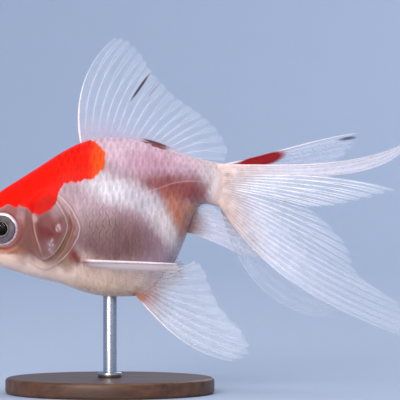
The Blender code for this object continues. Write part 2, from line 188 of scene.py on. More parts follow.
# the fish's colours by place, in mm, shared by its skin and its scales
markings = {
    "pearl": "#ae9098",
    # soft ovals on the flank: name, middle (x, z), half sizes, tilt, softness, strength, colour
    "patches": [
        ("lilac back", (8.0, 53.0), (13.5, 4.2), 10, 0.55, 0.8, "#d2b1c1"),
        ("pink saddle", (9.0, 50.8), (5.0, 2.6), 6, 0.6, 0.6, "#ba8396"),
        ("peduncle", (23.4, 45.6), (3.8, 6.2), 0, 0.5, 0.95, "#dccac9"),
        ("flesh under back", (15.2, 44.9), (8.2, 3.0), 8, 0.6, 0.92, "#8a403e"),
        ("flesh above vent", (14.6, 38.4), (3.0, 5.4), -22, 0.6, 0.9, "#b66e4f"),
        ("orange vent", (18.4, 40.2), (1.6, 1.4), 30, 0.7, 0.8, "#c88858"),
        ("grey side", (0.6, 33.8), (9.8, 5.6), 4, 0.55, 0.92, "#6f4c4a"),
        # the silver band: whitish guanine, painted paler still along it as a highlight of the light from
        # above
        ("silver front highlight", (1.4, 44.6), (6.4, 2.7), 18, 0.7, 0.9, "#dcd5da"),
        ("silver middle highlight", (8.8, 41.4), (4.4, 2.3), 45, 0.75, 0.88, "#c5bbc2"),
        ("silver rear highlight", (12.6, 36.2), (4.9, 1.9), 62, 0.75, 0.88, "#dccecb"),
        ("tail base", (25.2, 44.6), (3.2, 6.8), 0, 0.45, 0.95, "#dfc5bc"),
        # belly and throat: cream, painted paler still as light, to make up for the shade under the fish
        ("belly", (-3.0, 22.4), (14.0, 5.6), 0, 0.6, 0.97, "#f8d4b8"),
        ("throat", (-15.4, 26.0), (10.0, 4.2), -14, 0.6, 0.92, "#ffdfcc"),
        ("chin", (-25.2, 30.0), (8.0, 3.5), -12, 0.4, 0.95, "#fad6c0"),
        ("temple", (-20.4, 38.8), (3.8, 3.0), 0, 0.45, 0.92, "#8a5654"),
        ("cheek", (-18.1, 34.6), (4.2, 4.9), 0, 0.45, 0.95, "#784a3e"),
        ("gill cover", (-12.6, 35.0), (4.6, 7.0), 0, 0.35, 0.9, "#7a5048"),
        ("gills", (-13.0, 37.0), (3.0, 3.2), 20, 0.5, 0.92, "#6a1d1e"),
        ("upper cover", (-10.8, 40.2), (1.6, 1.9), 40, 0.6, 0.25, "#c4a4b4"),
        # painted highlights on the gill cover: pale gleams and glints that stand in for light off its silver,
        # over a little of its own silver colour
        ("cover gleam", (-10.5, 36.5), (0.6, 0.7), 30, 0.7, 0.25, "#c8a8b0"),
        ("cover glint 1", (-10.5, 36.85), (0.24, 0.3), 20, 0.6, 0.4, "#d8bac2"),
        ("cover glint 2", (-10.85, 36.2), (0.2, 0.26), 0, 0.6, 0.45, "#d8bac2"),
        ("cover glint 3", (-10.2, 36.45), (0.18, 0.3), 0, 0.6, 0.4, "#d8bac2"),
        ("lower gleam", (-12.3, 32.7), (0.8, 1.5), -8, 0.7, 0.28, "#b8a0a6"),
        ("lower glint 1", (-12.2, 33.8), (0.26, 0.34), 0, 0.6, 0.5, "#ccb6bc"),
        ("lower glint 2", (-12.55, 33.0), (0.22, 0.3), 0, 0.6, 0.45, "#c4aab2"),
        ("lower glint 3", (-11.9, 32.9), (0.2, 0.3), 0, 0.6, 0.45, "#ccb6bc"),
        ("lower glint 4", (-12.6, 32.1), (0.22, 0.3), 0, 0.6, 0.45, "#c4aab2"),
        ("lower glint 5", (-12.2, 31.5), (0.2, 0.26), 0, 0.6, 0.4, "#c4aab2"),
        ("pale knob", (-16.0, 38.6), (0.6, 0.9), 0, 0.7, 0.45, "#d4b0b0"),
        ("ridge behind eye", (-19.4, 38.8), (0.7, 2.4), 0, 0.6, 0.45, "#ac8c96"),
        ("shoulder", (-8.9, 39.8), (1.4, 4.6), 0, 0.6, 0.24, "#6e4a4c"),
        ("gill slit", (-7.8, 36.6), (0.8, 3.0), 0, 0.5, 0.95, "#6e2c28"),
        ("olive membrane", (-9.6, 32.3), (1.0, 3.4), 34, 0.5, 0.8, "#6a482e"),
        ("shoulder shade", (-9.0, 29.6), (1.9, 2.4), 20, 0.5, 0.75, "#80563f"),
        ("under eye", (-23.6, 31.8), (4.4, 0.8), 6, 0.6, 0.85, "#ac6248"),
        ("eye rim", (-23.0, 36.2), (4.45, 4.45), 0, 0.14, 0.75, "#94504a"),
    ],
    # thin arcs along a plate's edge: name, plate, share of the plate and width, x where each starts
    # and is full, strength, colour
    "arcs": [
        # the dark arcs lie in the plates' grooves and hollow and just behind the shoulder's step: painted
        # shade
        ("cheek groove shade", "cheek", 1.08, 0.05, (-14.0, -15.0), 0.5, "#945644"),
        ("cheek ridge", "cheek", 0.985, 0.05, (-14.0, -15.0), 0.5, "#c8a29a"),
        ("cover hollow shade", "gill", 0.90, 0.05, (-14.2, -12.2), 0.3, "#6c4d48"),
        ("cover edge", "gill", 0.985, 0.045, (-14.8, -13.0), 0.55, "#ceb2a8"),
        ("cover groove shade", "gill", 1.08, 0.06, (-14.3, -12.3), 0.6, "#7a5240"),
        ("cream streak", "gill", 1.22, 0.06, (-13.8, -12.2), 0.2, "#c4a890"),
        ("membrane", "flap", 0.88, 0.05, (-12.5, -10.5), 0.2, "#bc9488"),
        ("shoulder line", "flap", 0.985, 0.03, (-12.0, -10.0), 0.6, "#dec6be"),
        ("shade behind shoulder", "flap", 1.04, 0.035, (-12.0, -10.0), 0.35, "#8a6a64"),
    ],
    "marksAndGleam": [
        # a painted highlight: the last scales before the tail painted near white, as if catching the light
        ("root gleam", (22.9, 45.6), (0.8, 2.8), 14, 0.7, 0.45, "#fbf3f6"),
        ("nostril", (-27.4, 38.4), (0.5, 0.36), -20, 0.5, 0.85, "#4a2224"),
        ("pectoral base", (-7.1, 30.2), (1.0, 2.0), -24, 0.8, 0.95, "#6e201a"),
        ("pelvic base", (6.0, 22.3), (1.3, 1.4), 0, 0.6, 0.75, "#b2653c"),
        ("dorsal base", (9.9, 54.8), (3.1, 0.5), 18, 0.3, 0.95, "#7a1416"),
        ("first spine", (-6.4, 56.0), (0.5, 0.6), 0, 0.5, 0.8, "#5c2226"),
    ],
    # the red cap lies above a line from snout to shoulder, with a round lobe behind
    "capLine": [(-32.0, 36.4), (-26.6, 39.0), (-23.5, 41.1), (-21.4, 41.1), (-20.2, 40.6), (-19.4, 41.2),
                (-18.4, 41.1), (-16.6, 39.7), (-14.9, 39.5), (-12.9, 40.4), (-11.4, 41.5), (-11.0, 43.2),
                (-10.2, 45.4), (-8.2, 46.5), (-7.0, 46.0), (-5.4, 47.2), (-4.0, 58.0), (0.0, 60.0)],
    "capEdge": 0.25,  # mm that its lower edge fades over, to either side
    "capLobe": ((-5.1, 51.5), (4.4, 4.3)),
    "red": "#fb1c08", "deepRed": "#e00e04", "orangeEdge": "#f05a1c",
    "toneScale": 0.3,  # deeper places in the red for each mm
    "orangeFrom": (-4.6, -1.8), "orange": 0.9,  # x where the red turns to orange, and how far it does
    # painted shade: a deeper red over the gill cover's lobe, which tones down the light that the raised plate
    # catches
    "lobeShade": ((-13.4, 41.0), (4.2, 2.6), 0, 0.6, 0.6, "#9c0c02"),  # the cap is darker over the gill cover
    "lateralLine": [(5.0, 43.2), (7.7, 44.0), (11.0, 45.1), (15.4, 46.4), (18.7, 46.6), (23.0, 45.8)],
    "edgeWander": 0.45,  # mm that the patches' edges stray
    "wanderSize": 2.0,  # mm from one stray to the next
}


def ovalReach(tree, place, middle, half, tilt=0, power=2.0):
    # 0 in the middle of an oval of the flank, 1 on its edge; a power under 2 points its ends
    endless = 1000  # the oval runs right through the fish
    oval = addNode(tree, "Mapping", {
        "Vector": place, "Location": (middle[0], 0, middle[1]), "Rotation": (0, math.radians(tilt), 0),
        "Scale": (half[0], endless, half[1])}, vector_type="TEXTURE")
    if power == 2.0:
        return addNode(tree, "VectorMath", {0: oval}, operation="LENGTH")
    away = addNode(tree, "VectorMath", {0: oval}, operation="ABSOLUTE")
    axes = addNode(tree, "SeparateXYZ", {0: away}).outputs
    wide, tall = (addNode(tree, "Math", {0: axes[k], 1: power}, operation="POWER") for k in (0, 2))
    both = addNode(tree, "Math", {0: wide, 1: tall}, operation="ADD")
    return addNode(tree, "Math", {0: both, 1: 1 / power}, operation="POWER")


def ovalMask(tree, place, middle, half, tilt, soft, strength):
    # a soft-edged oval: its strength inside, nothing outside
    return addNode(tree, "MapRange", {"Value": ovalReach(tree, place, middle, half, tilt),
                                      **limits(1 + soft, max(0.05, 1 - soft), 0, strength)},
                   interpolation_type="SMOOTHSTEP")


def paintPatches(tree, place, colour, patches):
    # soft ovals painted over a colour, one after another
    for name, middle, half, tilt, soft, strength, code in patches:
        mask = ovalMask(tree, place, middle, half, tilt, soft, strength)
        colour = addNode(tree, "Mix", {0: mask, 6: colour, 7: linear(code)}, data_type="RGBA")
    return colour


def heightOver(tree, axes, line):
    # mm that a place stands above a line drawn along the flank
    places, heights = zip(*line)
    start, end, low, high = places[0], places[-1], min(heights), max(heights)
    share = addNode(tree, "MapRange", {"Value": axes[0], **limits(start, end)})
    drawn = addNode(tree, "FloatCurve", {"Value": share})
    points = drawn.mapping.curves[0].points
    rows = [((x - start) / (end - start), (z - low) / (high - low)) for x, z in line]
    points[0].location, points[1].location = rows[0], rows[-1]
    for row in rows[1:-1]:
        points.new(*row)
    drawn.mapping.update()
    height = addNode(tree, "Math", {0: drawn, 1: high - low, 2: low}, operation="MULTIPLY_ADD")
    return addNode(tree, "Math", {0: axes[2], 1: height}, operation="SUBTRACT")


def markingColour(tree):
    # the fish's colour at the place that each point carries in its seat, and how much it shines
    seat = addNode(tree, "Attribute", attribute_name="seat").outputs["Vector"]
    wander = addNode(tree, "TexNoise", {"Vector": seat, "Scale": 1 / markings["wanderSize"], "Detail": 1.5})
    centred = addNode(tree, "VectorMath", {0: wander.outputs["Color"], 1: (0.5, 0.5, 0.5)},
                      operation="SUBTRACT")
    # the noise seldom leaves its middle by more than a quarter, so four times that is a full stray
    stray = addNode(tree, "VectorMath", {0: centred, "Scale": 4 * markings["edgeWander"]}, operation="SCALE")
    place = addNode(tree, "VectorMath", {0: seat, 1: stray}, operation="ADD")
    colour = paintPatches(tree, place, linear(markings["pearl"]), markings["patches"])
    # the plates' edges stray a quarter as far
    fromSnout = addNode(tree, "SeparateXYZ", {0: seat}).outputs[0]
    bent = addNode(tree, "VectorMath", {0: stray, "Scale": 0.25}, operation="SCALE")
    bent = addNode(tree, "VectorMath", {0: seat, 1: bent}, operation="ADD")
    for name, plate, share, width, starts, strength, code in markings["arcs"]:
        reach = ovalReach(tree, bent, *headShape["plates"][plate], power=headShape["platePower"])
        off = addNode(tree, "Math", {0: reach, 1: share}, operation="SUBTRACT")
        away = addNode(tree, "Math", {0: off}, operation="ABSOLUTE")
        line, begin = (addNode(tree, "MapRange", {"Value": value, **limits(*ends)},
                               interpolation_type="SMOOTHSTEP")
                       for value, ends in ((away, (width, 0, 0, strength)), (fromSnout, starts)))
        mask = addNode(tree, "Math", {0: line, 1: begin}, operation="MULTIPLY")
        colour = addNode(tree, "Mix", {0: mask, 6: colour, 7: linear(code)}, data_type="RGBA")
    # the red cap: above its lower line, or inside its rear lobe
    axes = addNode(tree, "SeparateXYZ", {0: place}).outputs
    cap = addNode(tree, "MapRange", {"Value": heightOver(tree, axes, markings["capLine"]),
                                     **limits(-markings["capEdge"], markings["capEdge"])},
                  interpolation_type="SMOOTHSTEP")
    lobe = ovalMask(tree, place, *markings["capLobe"], 0, 0.05, 1.0)
    red = addNode(tree, "Math", {0: cap, 1: lobe}, operation="MAXIMUM")
    depth = addNode(tree, "TexNoise", {"Vector": seat, "Scale": markings["toneScale"], "Detail": 2.0})
    tone = addNode(tree, "Mix", {0: depth, 6: linear(markings["red"]), 7: linear(markings["deepRed"])},
                   data_type="RGBA")
    rear = addNode(tree, "MapRange", {"Value": axes[0],
                                      **limits(*markings["orangeFrom"], 0, markings["orange"])})
    tone = addNode(tree, "Mix", {0: rear, 6: tone, 7: linear(markings["orangeEdge"])}, data_type="RGBA")
    # the painted shade over the gill cover's lobe
    tone = paintPatches(tree, place, tone, [("lobe shade", *markings["lobeShade"])])
    colour = addNode(tree, "Mix", {0: red, 6: colour, 7: tone}, data_type="RGBA")
    shine = addNode(tree, "MapRange", {"Value": red, **limits(0, 1, 1, skinFinish["redShine"])})
    return seat, paintPatches(tree, place, colour, markings["marksAndGleam"]), shine


skinFinish = {
    "roughness": (0.33, 0.47), "specular": 0.24, "ior": 1.4,
    "coat": 0.1, "coatRoughness": 0.14,  # the film of slime that keeps a fish wet
    "poreSize": 0.35, "poreDepth": 0.04,  # mm, the fine pores of the head
    "mottleSize": 1.3, "mottle": (0.93, 1.05),  # mm, coarse enough to show, and its darkest and palest
    "redShine": 0.35,  # the red parts shine less than the silver ones
    "softness": 0.1, "depth": 0.0006,  # light that enters the flesh, and how far in metres
    "bleed": (1.0, 0.45, 0.3),  # how far the light's red, green and blue go, as shares of that depth
}


def wetSurface(tree, shader, shine, ior):
    # what the skin and the scales share: slime over soft flesh
    wet, hard = (addNode(tree, "Math", {0: shine, 1: skinFinish[level]}, operation="MULTIPLY")
                 for level in ("coat", "specular"))
    fillInputs(tree, shader, {
        "Coat Weight": wet, "Coat Roughness": skinFinish["coatRoughness"], "Specular IOR Level": hard,
        "Subsurface Weight": skinFinish["softness"], "Subsurface Scale": skinFinish["depth"],
        "Subsurface Radius": skinFinish["bleed"], "IOR": ior})


def wetSkinMaterial():
    # living goldfish skin under slime: satin, slightly soft, with a wet highlight
    material, tree, shader = newMaterial("wet goldfish skin")
    seat, colour, shine = markingColour(tree)
    mottle = addNode(tree, "TexNoise", {"Vector": seat, "Scale": 1 / skinFinish["mottleSize"], "Detail": 3.0,
                                        "Roughness": 0.55})
    shade, gloss = (addNode(tree, "MapRange", {"Value": mottle, **limits(*noiseSpan, *skinFinish[key])})
                    for key in ("mottle", "roughness"))
    toned = addNode(tree, "VectorMath", {0: colour, "Scale": shade}, operation="SCALE")
    pores = addNode(tree, "TexVoronoi", {"Vector": seat, "Scale": 1 / skinFinish["poreSize"]})
    relief = addNode(tree, "Bump", {"Height": pores, "Strength": 0.1,
                                    "Distance": skinFinish["poreDepth"] * mm})
    fillInputs(tree, shader, {"Base Color": toned, "Roughness": gloss, "Normal": relief})
    wetSurface(tree, shader, shine, skinFinish["ior"])
    return material


bodyShape = {
    # x, back, belly, half width, share of the height at the widest, fullness of the upper half
    "lines": [
        (-31.7, 35.7, 35.5, 0.1, 0.50, 2.0), (-31.1, 37.3, 33.8, 1.5, 0.48, 2.0),
        (-29.7, 39.4, 31.8, 2.8, 0.46, 2.0), (-27.4, 41.9, 29.7, 4.2, 0.44, 2.0),
        (-24.2, 44.6, 27.8, 5.7, 0.44, 2.0), (-19.8, 47.4, 26.3, 7.3, 0.43, 2.0),
        (-15.4, 50.2, 25.0, 8.5, 0.41, 1.95), (-11.0, 53.0, 24.0, 9.4, 0.39, 1.85),
        (-6.6, 55.2, 22.4, 10.1, 0.37, 1.75), (-2.2, 56.3, 21.3, 10.5, 0.36, 1.7),
        (2.2, 56.4, 21.1, 10.6, 0.36, 1.7), (6.6, 55.8, 21.4, 10.2, 0.36, 1.7),
        (9.9, 54.9, 22.9, 9.3, 0.36, 1.75), (13.2, 53.8, 26.6, 7.9, 0.37, 1.8),
        (15.4, 53.0, 30.8, 6.8, 0.38, 1.85), (17.1, 52.4, 35.2, 5.8, 0.42, 1.9),
        (18.6, 52.0, 39.4, 4.9, 0.46, 1.95), (20.4, 51.6, 41.4, 4.0, 0.50, 2.0),
        (23.1, 51.0, 41.0, 3.0, 0.52, 2.0), (26.0, 50.6, 39.9, 1.7, 0.54, 2.0)],
    "bellyFullness": 2.2,
    "coatDepth": 0.22,  # mm that the skin lies inside the solids, under the scales
    "rings": 330,
    "around": 220,
    "tailPinch": (21.0, 0.3),  # where the root starts to close on the tail, and how far it closes
}
headShape = {
    "eyePlace": (-23.0, 36.2), "eyeRadius": 3.5,  # where the ball meets the skin
    # plates under the skin, ovals with pointed ends: middle and half sizes
    "plates": {
        "gill": ((-14.0, 36.8), (5.3, 7.3)),  # the gill cover's rear edge
        "flap": ((-14.0, 36.2), (8.0, 9.0)),  # the shoulder line behind it
        "cheek": ((-10.5, 38.6), (5.95, 13.0)),  # the preopercle's front edge
    },
    "platePower": 1.5,
    # each ridge, or groove, along a plate's edge: its height in mm, share of the plate and width
    "gillRidges": [(0.05, 0.95, 0.04), (-0.15, 1.065, 0.04)],
    "gillHollow": (-0.14, 0.84, 0.08),
    "flapRidge": (0.08, 0.88, 0.05),
    "cheekRidges": [(0.1, 0.98, 0.05), (-0.14, 1.08, 0.05)],
    "plateRise": 0.32, "flapRise": 0.18, "plateCrown": 0.2,
    # where they start and are full, by x or by height
    "coverFront": (-18.2, -15.8), "coverTop": (39.5, 43.0), "hollowFront": (-14.5, -12.5),
    "flapFront": (-12.5, -10.5), "jawRear": (-15.4, -13.6), "jawTop": (39.0, 41.5), "jawLow": (28.5, 30.5),
    # fine rays of bone under the gill cover's skin: how many to a turn, their height and middle
    "bones": 26, "boneRise": 0.025, "bonesFrom": (-16.5, 41.0),
    # round the eye, from its middle: the lid, and the fold and groove under it
    "lid": (0.3, 3.9, 0.3), "underEye": [(0.2, 5.2, 0.35), (-0.2, 4.6, 0.25)],
    "eyeSocket": 1.6,  # mm that the skin dips behind the eye, which fills it
    # knobs: name, height, middle and widths
    "cheekKnob": ("ridge behind the eye", 0.16, (-19.2, 38.2), (0.8, 3.4)),
    "finBases": [("pectoral", 0.35, (-7.4, 29.2), (1.2, 1.7)), ("pelvic", 0.3, (6.6, 23.0), (1.6, 1.5))],
    # the mouth falls a little towards its corner, and ends in a fold
    "mouthHeight": 35.6, "mouthFall": 0.5, "mouthRun": (-30.8, -28.6), "mouthDepth": 0.6,
    "mouthRear": (-30.0, -28.4), "mouthCorner": (0.16, -28.5),  # depth of the fold, and its x
    "upperLip": (0.3, 0.85, 0.5), "lowerLip": (0.28, -0.85, 0.5), "lipsRear": (-30.3, -28.9),
    "nostril": (-27.4, 38.4), "nostrilRim": (0.3, 0.78, 0.24), "nostrilHole": (-0.5, 0, 0.42),
}

count = len(bodyShape["lines"])
lineTable = curveThrough(range(count), bodyShape["lines"], np.linspace(0, count - 1, 20 * (count - 1) + 1)).T
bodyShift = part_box("mouth")[0][0] / mm - lineTable[0][0]  # 0 while the solids keep these lines


def sectionAt(x):
    # the body's section at x: back, belly, half width, height of the widest place, upper fullness
    back, belly, half, share, fullness = (np.interp(x, lineTable[0], column) for column in lineTable[1:])
    start, closing = bodyShape["tailPinch"]
    half = half * (1 - closing * ease(x, start, lineTable[0][-1]))
    return back, belly, half, belly + share * (back - belly), fullness


def sectionPoint(x, turn):
    # a point of the section at x; turn is 0 at the right side and a quarter turn at the back
    back, belly, half, widest, fullness = sectionAt(x)
    across, up = np.cos(turn), np.sin(turn)
    power = 2 / np.where(up >= 0, fullness, bodyShape["bellyFullness"])
    limit = np.where(up >= 0, back - widest, widest - belly)
    y = np.sign(across) * np.abs(across) ** power * half
    z = widest + np.sign(up) * np.abs(up) ** power * limit
    return np.stack([x + bodyShift + 0 * y, y, z], -1)


def plateReach(x, z, plate):
    # 0 in the middle of a plate, 1 on its edge
    middle, half = headShape["plates"][plate]
    power = headShape["platePower"]
    wide, tall = np.abs((x - middle[0]) / half[0]), np.abs((z - middle[1]) / half[1])
    return (wide**power + tall**power) ** (1 / power)


def ridge(at, row):
    # a ridge, or a groove where its height is below 0
    height, middle, width = row
    return height * bump(at, middle, width)


def knob(x, z, row):
    # a soft knob on the flank
    name, height, middle, widths = row
    return height * bump(x, middle[0], widths[0]) * bump(z, middle[1], widths[1])


def headRelief(points):
    # mm that the skin stands out or in: gill covers, folds, lids, lips and nostrils
    shape = headShape
    x, y, z = points[..., 0], np.abs(points[..., 1]), points[..., 2]
    gill, flap, cheek = (plateReach(x, z, plate) for plate in ("gill", "flap", "cheek"))
    # the covers fade out towards the front, and mostly at the top
    front = ease(x, *shape["coverFront"]) * (1 - 0.7 * ease(z, *shape["coverTop"]))
    rise = shape["plateRise"] * (1 - ease(gill, 0.985, 1.03)) * front
    rise += shape["flapRise"] * (1 - ease(flap, 0.985, 1.02)) * front
    for row in shape["gillRidges"]:
        rise += ridge(gill, row) * front
    rise += ridge(gill, shape["gillHollow"]) * front * ease(x, *shape["hollowFront"])
    rise += ridge(flap, shape["flapRidge"]) * ease(x, *shape["flapFront"])
    rise += shape["plateCrown"] * np.clip(1 - gill, 0, 1) * front
    jaw = (1 - ease(x, *shape["jawRear"])) * (1 - ease(z, *shape["jawTop"]))
    rise += sum(ridge(cheek, row) for row in shape["cheekRidges"]) * jaw * ease(z, *shape["jawLow"])
    rise += knob(x, z, shape["cheekKnob"])
    spokes = np.arctan2(z - shape["bonesFrom"][1], x - shape["bonesFrom"][0])
    onCover = (1 - ease(gill, 0.6, 0.9)) * front * ease(gill, 0.1, 0.5)
    rise += shape["boneRise"] * np.sin(shape["bones"] * spokes) * onCover
    eyeX, eyeZ = shape["eyePlace"]
    eye = np.hypot(x - eyeX, z - eyeZ)
    rise += ridge(eye, shape["lid"])
    rise += sum(ridge(eye, row) for row in shape["underEye"]) * ease(eyeZ - z, -1.5, 2.5)
    rise -= shape["eyeSocket"] * (1 - ease(eye, 2.6, shape["eyeRadius"] + 0.05))
    nose = np.hypot(x - shape["nostril"][0], z - shape["nostril"][1])
    rise += ridge(nose, shape["nostrilRim"]) + ridge(nose, shape["nostrilHole"])
    for row in shape["finBases"]:
        rise += knob(x, z, row)
    rise *= ease(y, 0.6, 2.2)  # all of this is on the sides; the mouth crosses the middle
    mouth = shape["mouthHeight"] - shape["mouthFall"] * ease(x, *shape["mouthRun"])
    lips = ridge(z - mouth, shape["upperLip"]) + ridge(z - mouth, shape["lowerLip"])
    rise += (1 - ease(x, *shape["lipsRear"])) * lips
    rise -= (1 - ease(x, *shape["mouthRear"])) * shape["mouthDepth"] * bump(z, mouth, 0.2)
    depth, cornerX = shape["mouthCorner"]
    rise -= depth * bump(x + 0.35 * np.abs(z - mouth), cornerX, 0.22) * bump(z, mouth, 2.2)
    return rise


def buildSkin(material):
    # rings evenly spaced along the outline, from the snout to the tail's root
    tall = (lineTable[1] - lineTable[2]) / 2
    steps = np.cumsum(np.hypot(np.gradient(lineTable[0]), np.gradient(tall)))
    x = np.interp(np.linspace(steps[0], steps[-1], bodyShape["rings"]), steps, lineTable[0])
    turn = np.linspace(0, 2 * math.pi, bodyShape["around"], endpoint=False) - math.pi / 2
    gridX, gridTurn = np.meshgrid(x, turn, indexing="ij")
    points = sectionPoint(gridX, gridTurn)
    normal = gridNormals(points, wrap=True)
    outward = points - np.stack([points[..., 0], 0 * gridX, sectionAt(gridX)[3]], -1)
    normal *= np.sign(np.sum(normal * outward, -1, keepdims=True) + 1e-9)
    normal[0], normal[-1] = (-1, 0, 0), (1, 0, 0)
    points = points + normal * (headRelief(points) - bodyShape["coatDepth"])[..., None]
    rows, columns = gridX.shape
    faces = [tuple(f) for f in gridFaces(rows, columns, wrap=True)]
    ends = np.array([points[0].mean(0) - (0.03, 0, 0), points[-1].mean(0) + (0.1, 0, 0)])
    flat = np.vstack([points.reshape(-1, 3), ends])
    places = []
    for i in range(rows - 1):
        for j in range(columns):
            places += [(i, j), (i + 1, j), (i + 1, j + 1), (i, j + 1)]
    for end, row in ((rows * columns, 0), (rows * columns + 1, rows - 1)):
        for j in range(columns):
            faces.append((end, row * columns + j, row * columns + (j + 1) % columns))
            places += [(row, j + 0.5), (row, j), (row, j + 1)]
    skin = makePiece("goldfishSkin", flat, faces, material, {"seat": flat})
    bakeMap(skin, np.array(places, float) / (rows - 1, columns))
    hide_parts("mouth", "head", "trunk", "tail_root", "gill_cover_left", "gill_cover_right")
    return skin


scalePlan = {
    "pitch": (1.42, 1.32),  # mm from one scale to the next along the body, front and tail
    "rowsAbove": 6.2,  # rows between the lateral line and the ridge of the back
    "rowStep": (1.35, 2.6),  # least and most mm between rows
    "rows": (-7, 15),  # first above the line and last below it
    "start": -12.6, "end": 22.2, "endLean": 0.3,  # the last column slants down and forward
    "bellyBelow": 30.0, "bellyStart": -9.5,  # the belly's own first column
    "naked": (0.25, 1.4),  # mm behind the head's edge that the first scales sit, flank and belly
    "length": 2.2,  # in pitches, so each is more than half covered by the one in front
    "halfWidth": 1.1,  # in row steps
    "middle": 0.52,  # share of its length at which a scale is set
    "lift": 0.036,  # mm that the free edge rises over the root
    "clearance": 0.012,  # mm that the upper side lies over the skin before any lift
    "tuck": 0.09,  # mm that the root dips under the scale in front
    "bury": 0.2,  # mm that the first ones sink towards the head's edge
    "thickness": 0.024,
    "blend": 0.85,  # how much a scale's colour follows its own surface, the rest is its middle's
    "twist": 0.025, "vary": 0.07,  # how much one scale differs from the next in turn and lift
    "cells": (9, 12),
    "mapHalf": 0.49, "mapPatch": 0.003,  # how far each side reaches over the map, and a scale's size there
    "line": [(-14.0, 42.6), (-5.0, 42.3), (0.0, 42.7), (7.7, 44.0), (15.4, 46.0), (22.0, 46.0), (26.0, 45.4)],
}


class Flank:
    # the right side's surface by x and by distance down the flank from the lateral line
    def __init__(self):
        self.x = np.linspace(lineTable[0][0] + 0.05, lineTable[0][-1] - 0.02, 420)
        self.step = 0.1
        self.down = np.arange(-24.0, 32.0, self.step)
        turn = np.linspace(math.pi / 2, -math.pi / 2, 361)
        section = sectionPoint(*np.meshgrid(self.x, turn, indexing="ij"))
        line = curveThrough(*zip(*scalePlan["line"]), self.x)
        rows, limits = [], []
        for points, height in zip(section, line):
            walk = np.concatenate([[0], np.cumsum(np.linalg.norm(np.diff(points, axis=0), axis=1))])
            middle = np.interp(-height, -points[:, 2], walk)
            rows.append(np.stack([np.interp(middle + self.down, walk, points[:, k]) for k in range(3)], -1))
            limits.append((-middle, walk[-1] - middle))
        self.points, self.limits = np.array(rows), np.array(limits)
        self.normals = gridNormals(self.points)
        if self.normals[200, 240, 1] < 0:  # a place half way along, on the lateral line
            self.normals = -self.normals

    def ends(self, x):
        # how far up (below 0) and down the flank runs
        return [np.interp(x, self.x, self.limits[:, k]) for k in (0, 1)]

    def rowStep(self, x):
        # rows stand closer together where the back is low
        return np.clip(-self.ends(x)[0] / scalePlan["rowsAbove"], *scalePlan["rowStep"])

    def at(self, x, down):
        # points and normals of the surface
        low, high = self.ends(x)
        row = np.clip((x - self.x[0]) / (self.x[1] - self.x[0]), 0, len(self.x) - 1.001)
        column = np.clip((np.clip(down, low, high) - self.down[0]) / self.step, 0, len(self.down) - 1.001)
        points, normals = readTables((self.points, self.normals), row, column)
        return points, unit(normals)


def behindHead(spots):
    # mm that a place lies behind the edge of the naked head
    x, z = spots[..., 0], spots[..., 2]
    shoulder = (plateReach(x, z, "flap") - 1) * headShape["plates"]["flap"][1][0]
    nape = x - scalePlan["start"]
    throat = np.minimum(nape, x - scalePlan["bellyStart"])
    return np.minimum(shoulder, np.where(z < scalePlan["bellyBelow"], throat, nape) + 0.4)


def scaleSeats(flank):
    # where every scale of one side sits: x, row and pitch
    seats, x = [], scalePlan["start"]
    front, rear = scalePlan["pitch"]
    first, final = scalePlan["rows"]
    while x < scalePlan["end"] + 1.5:
        pitch = front + (rear - front) * float(ease(x, 0.0, 20.0))
        for row in range(first, final + 1):
            centre = x + (0.5 * pitch if row % 2 else 0)
            down = row * float(flank.rowStep(centre))
            low, high = flank.ends(centre)
            if down < low + 0.2 or down > high - 0.2:
                continue
            spot = flank.at(np.array([centre]), np.array([down]))[0][0]
            last = scalePlan["end"] + scalePlan["endLean"] * (spot[2] - 47)
            naked = scalePlan["naked"][0 if spot[2] > scalePlan["bellyBelow"] else 1]
            if behindHead(spot) > naked and centre < last:
                seats.append((centre, row, pitch))
        x += pitch
    return np.array(seats)


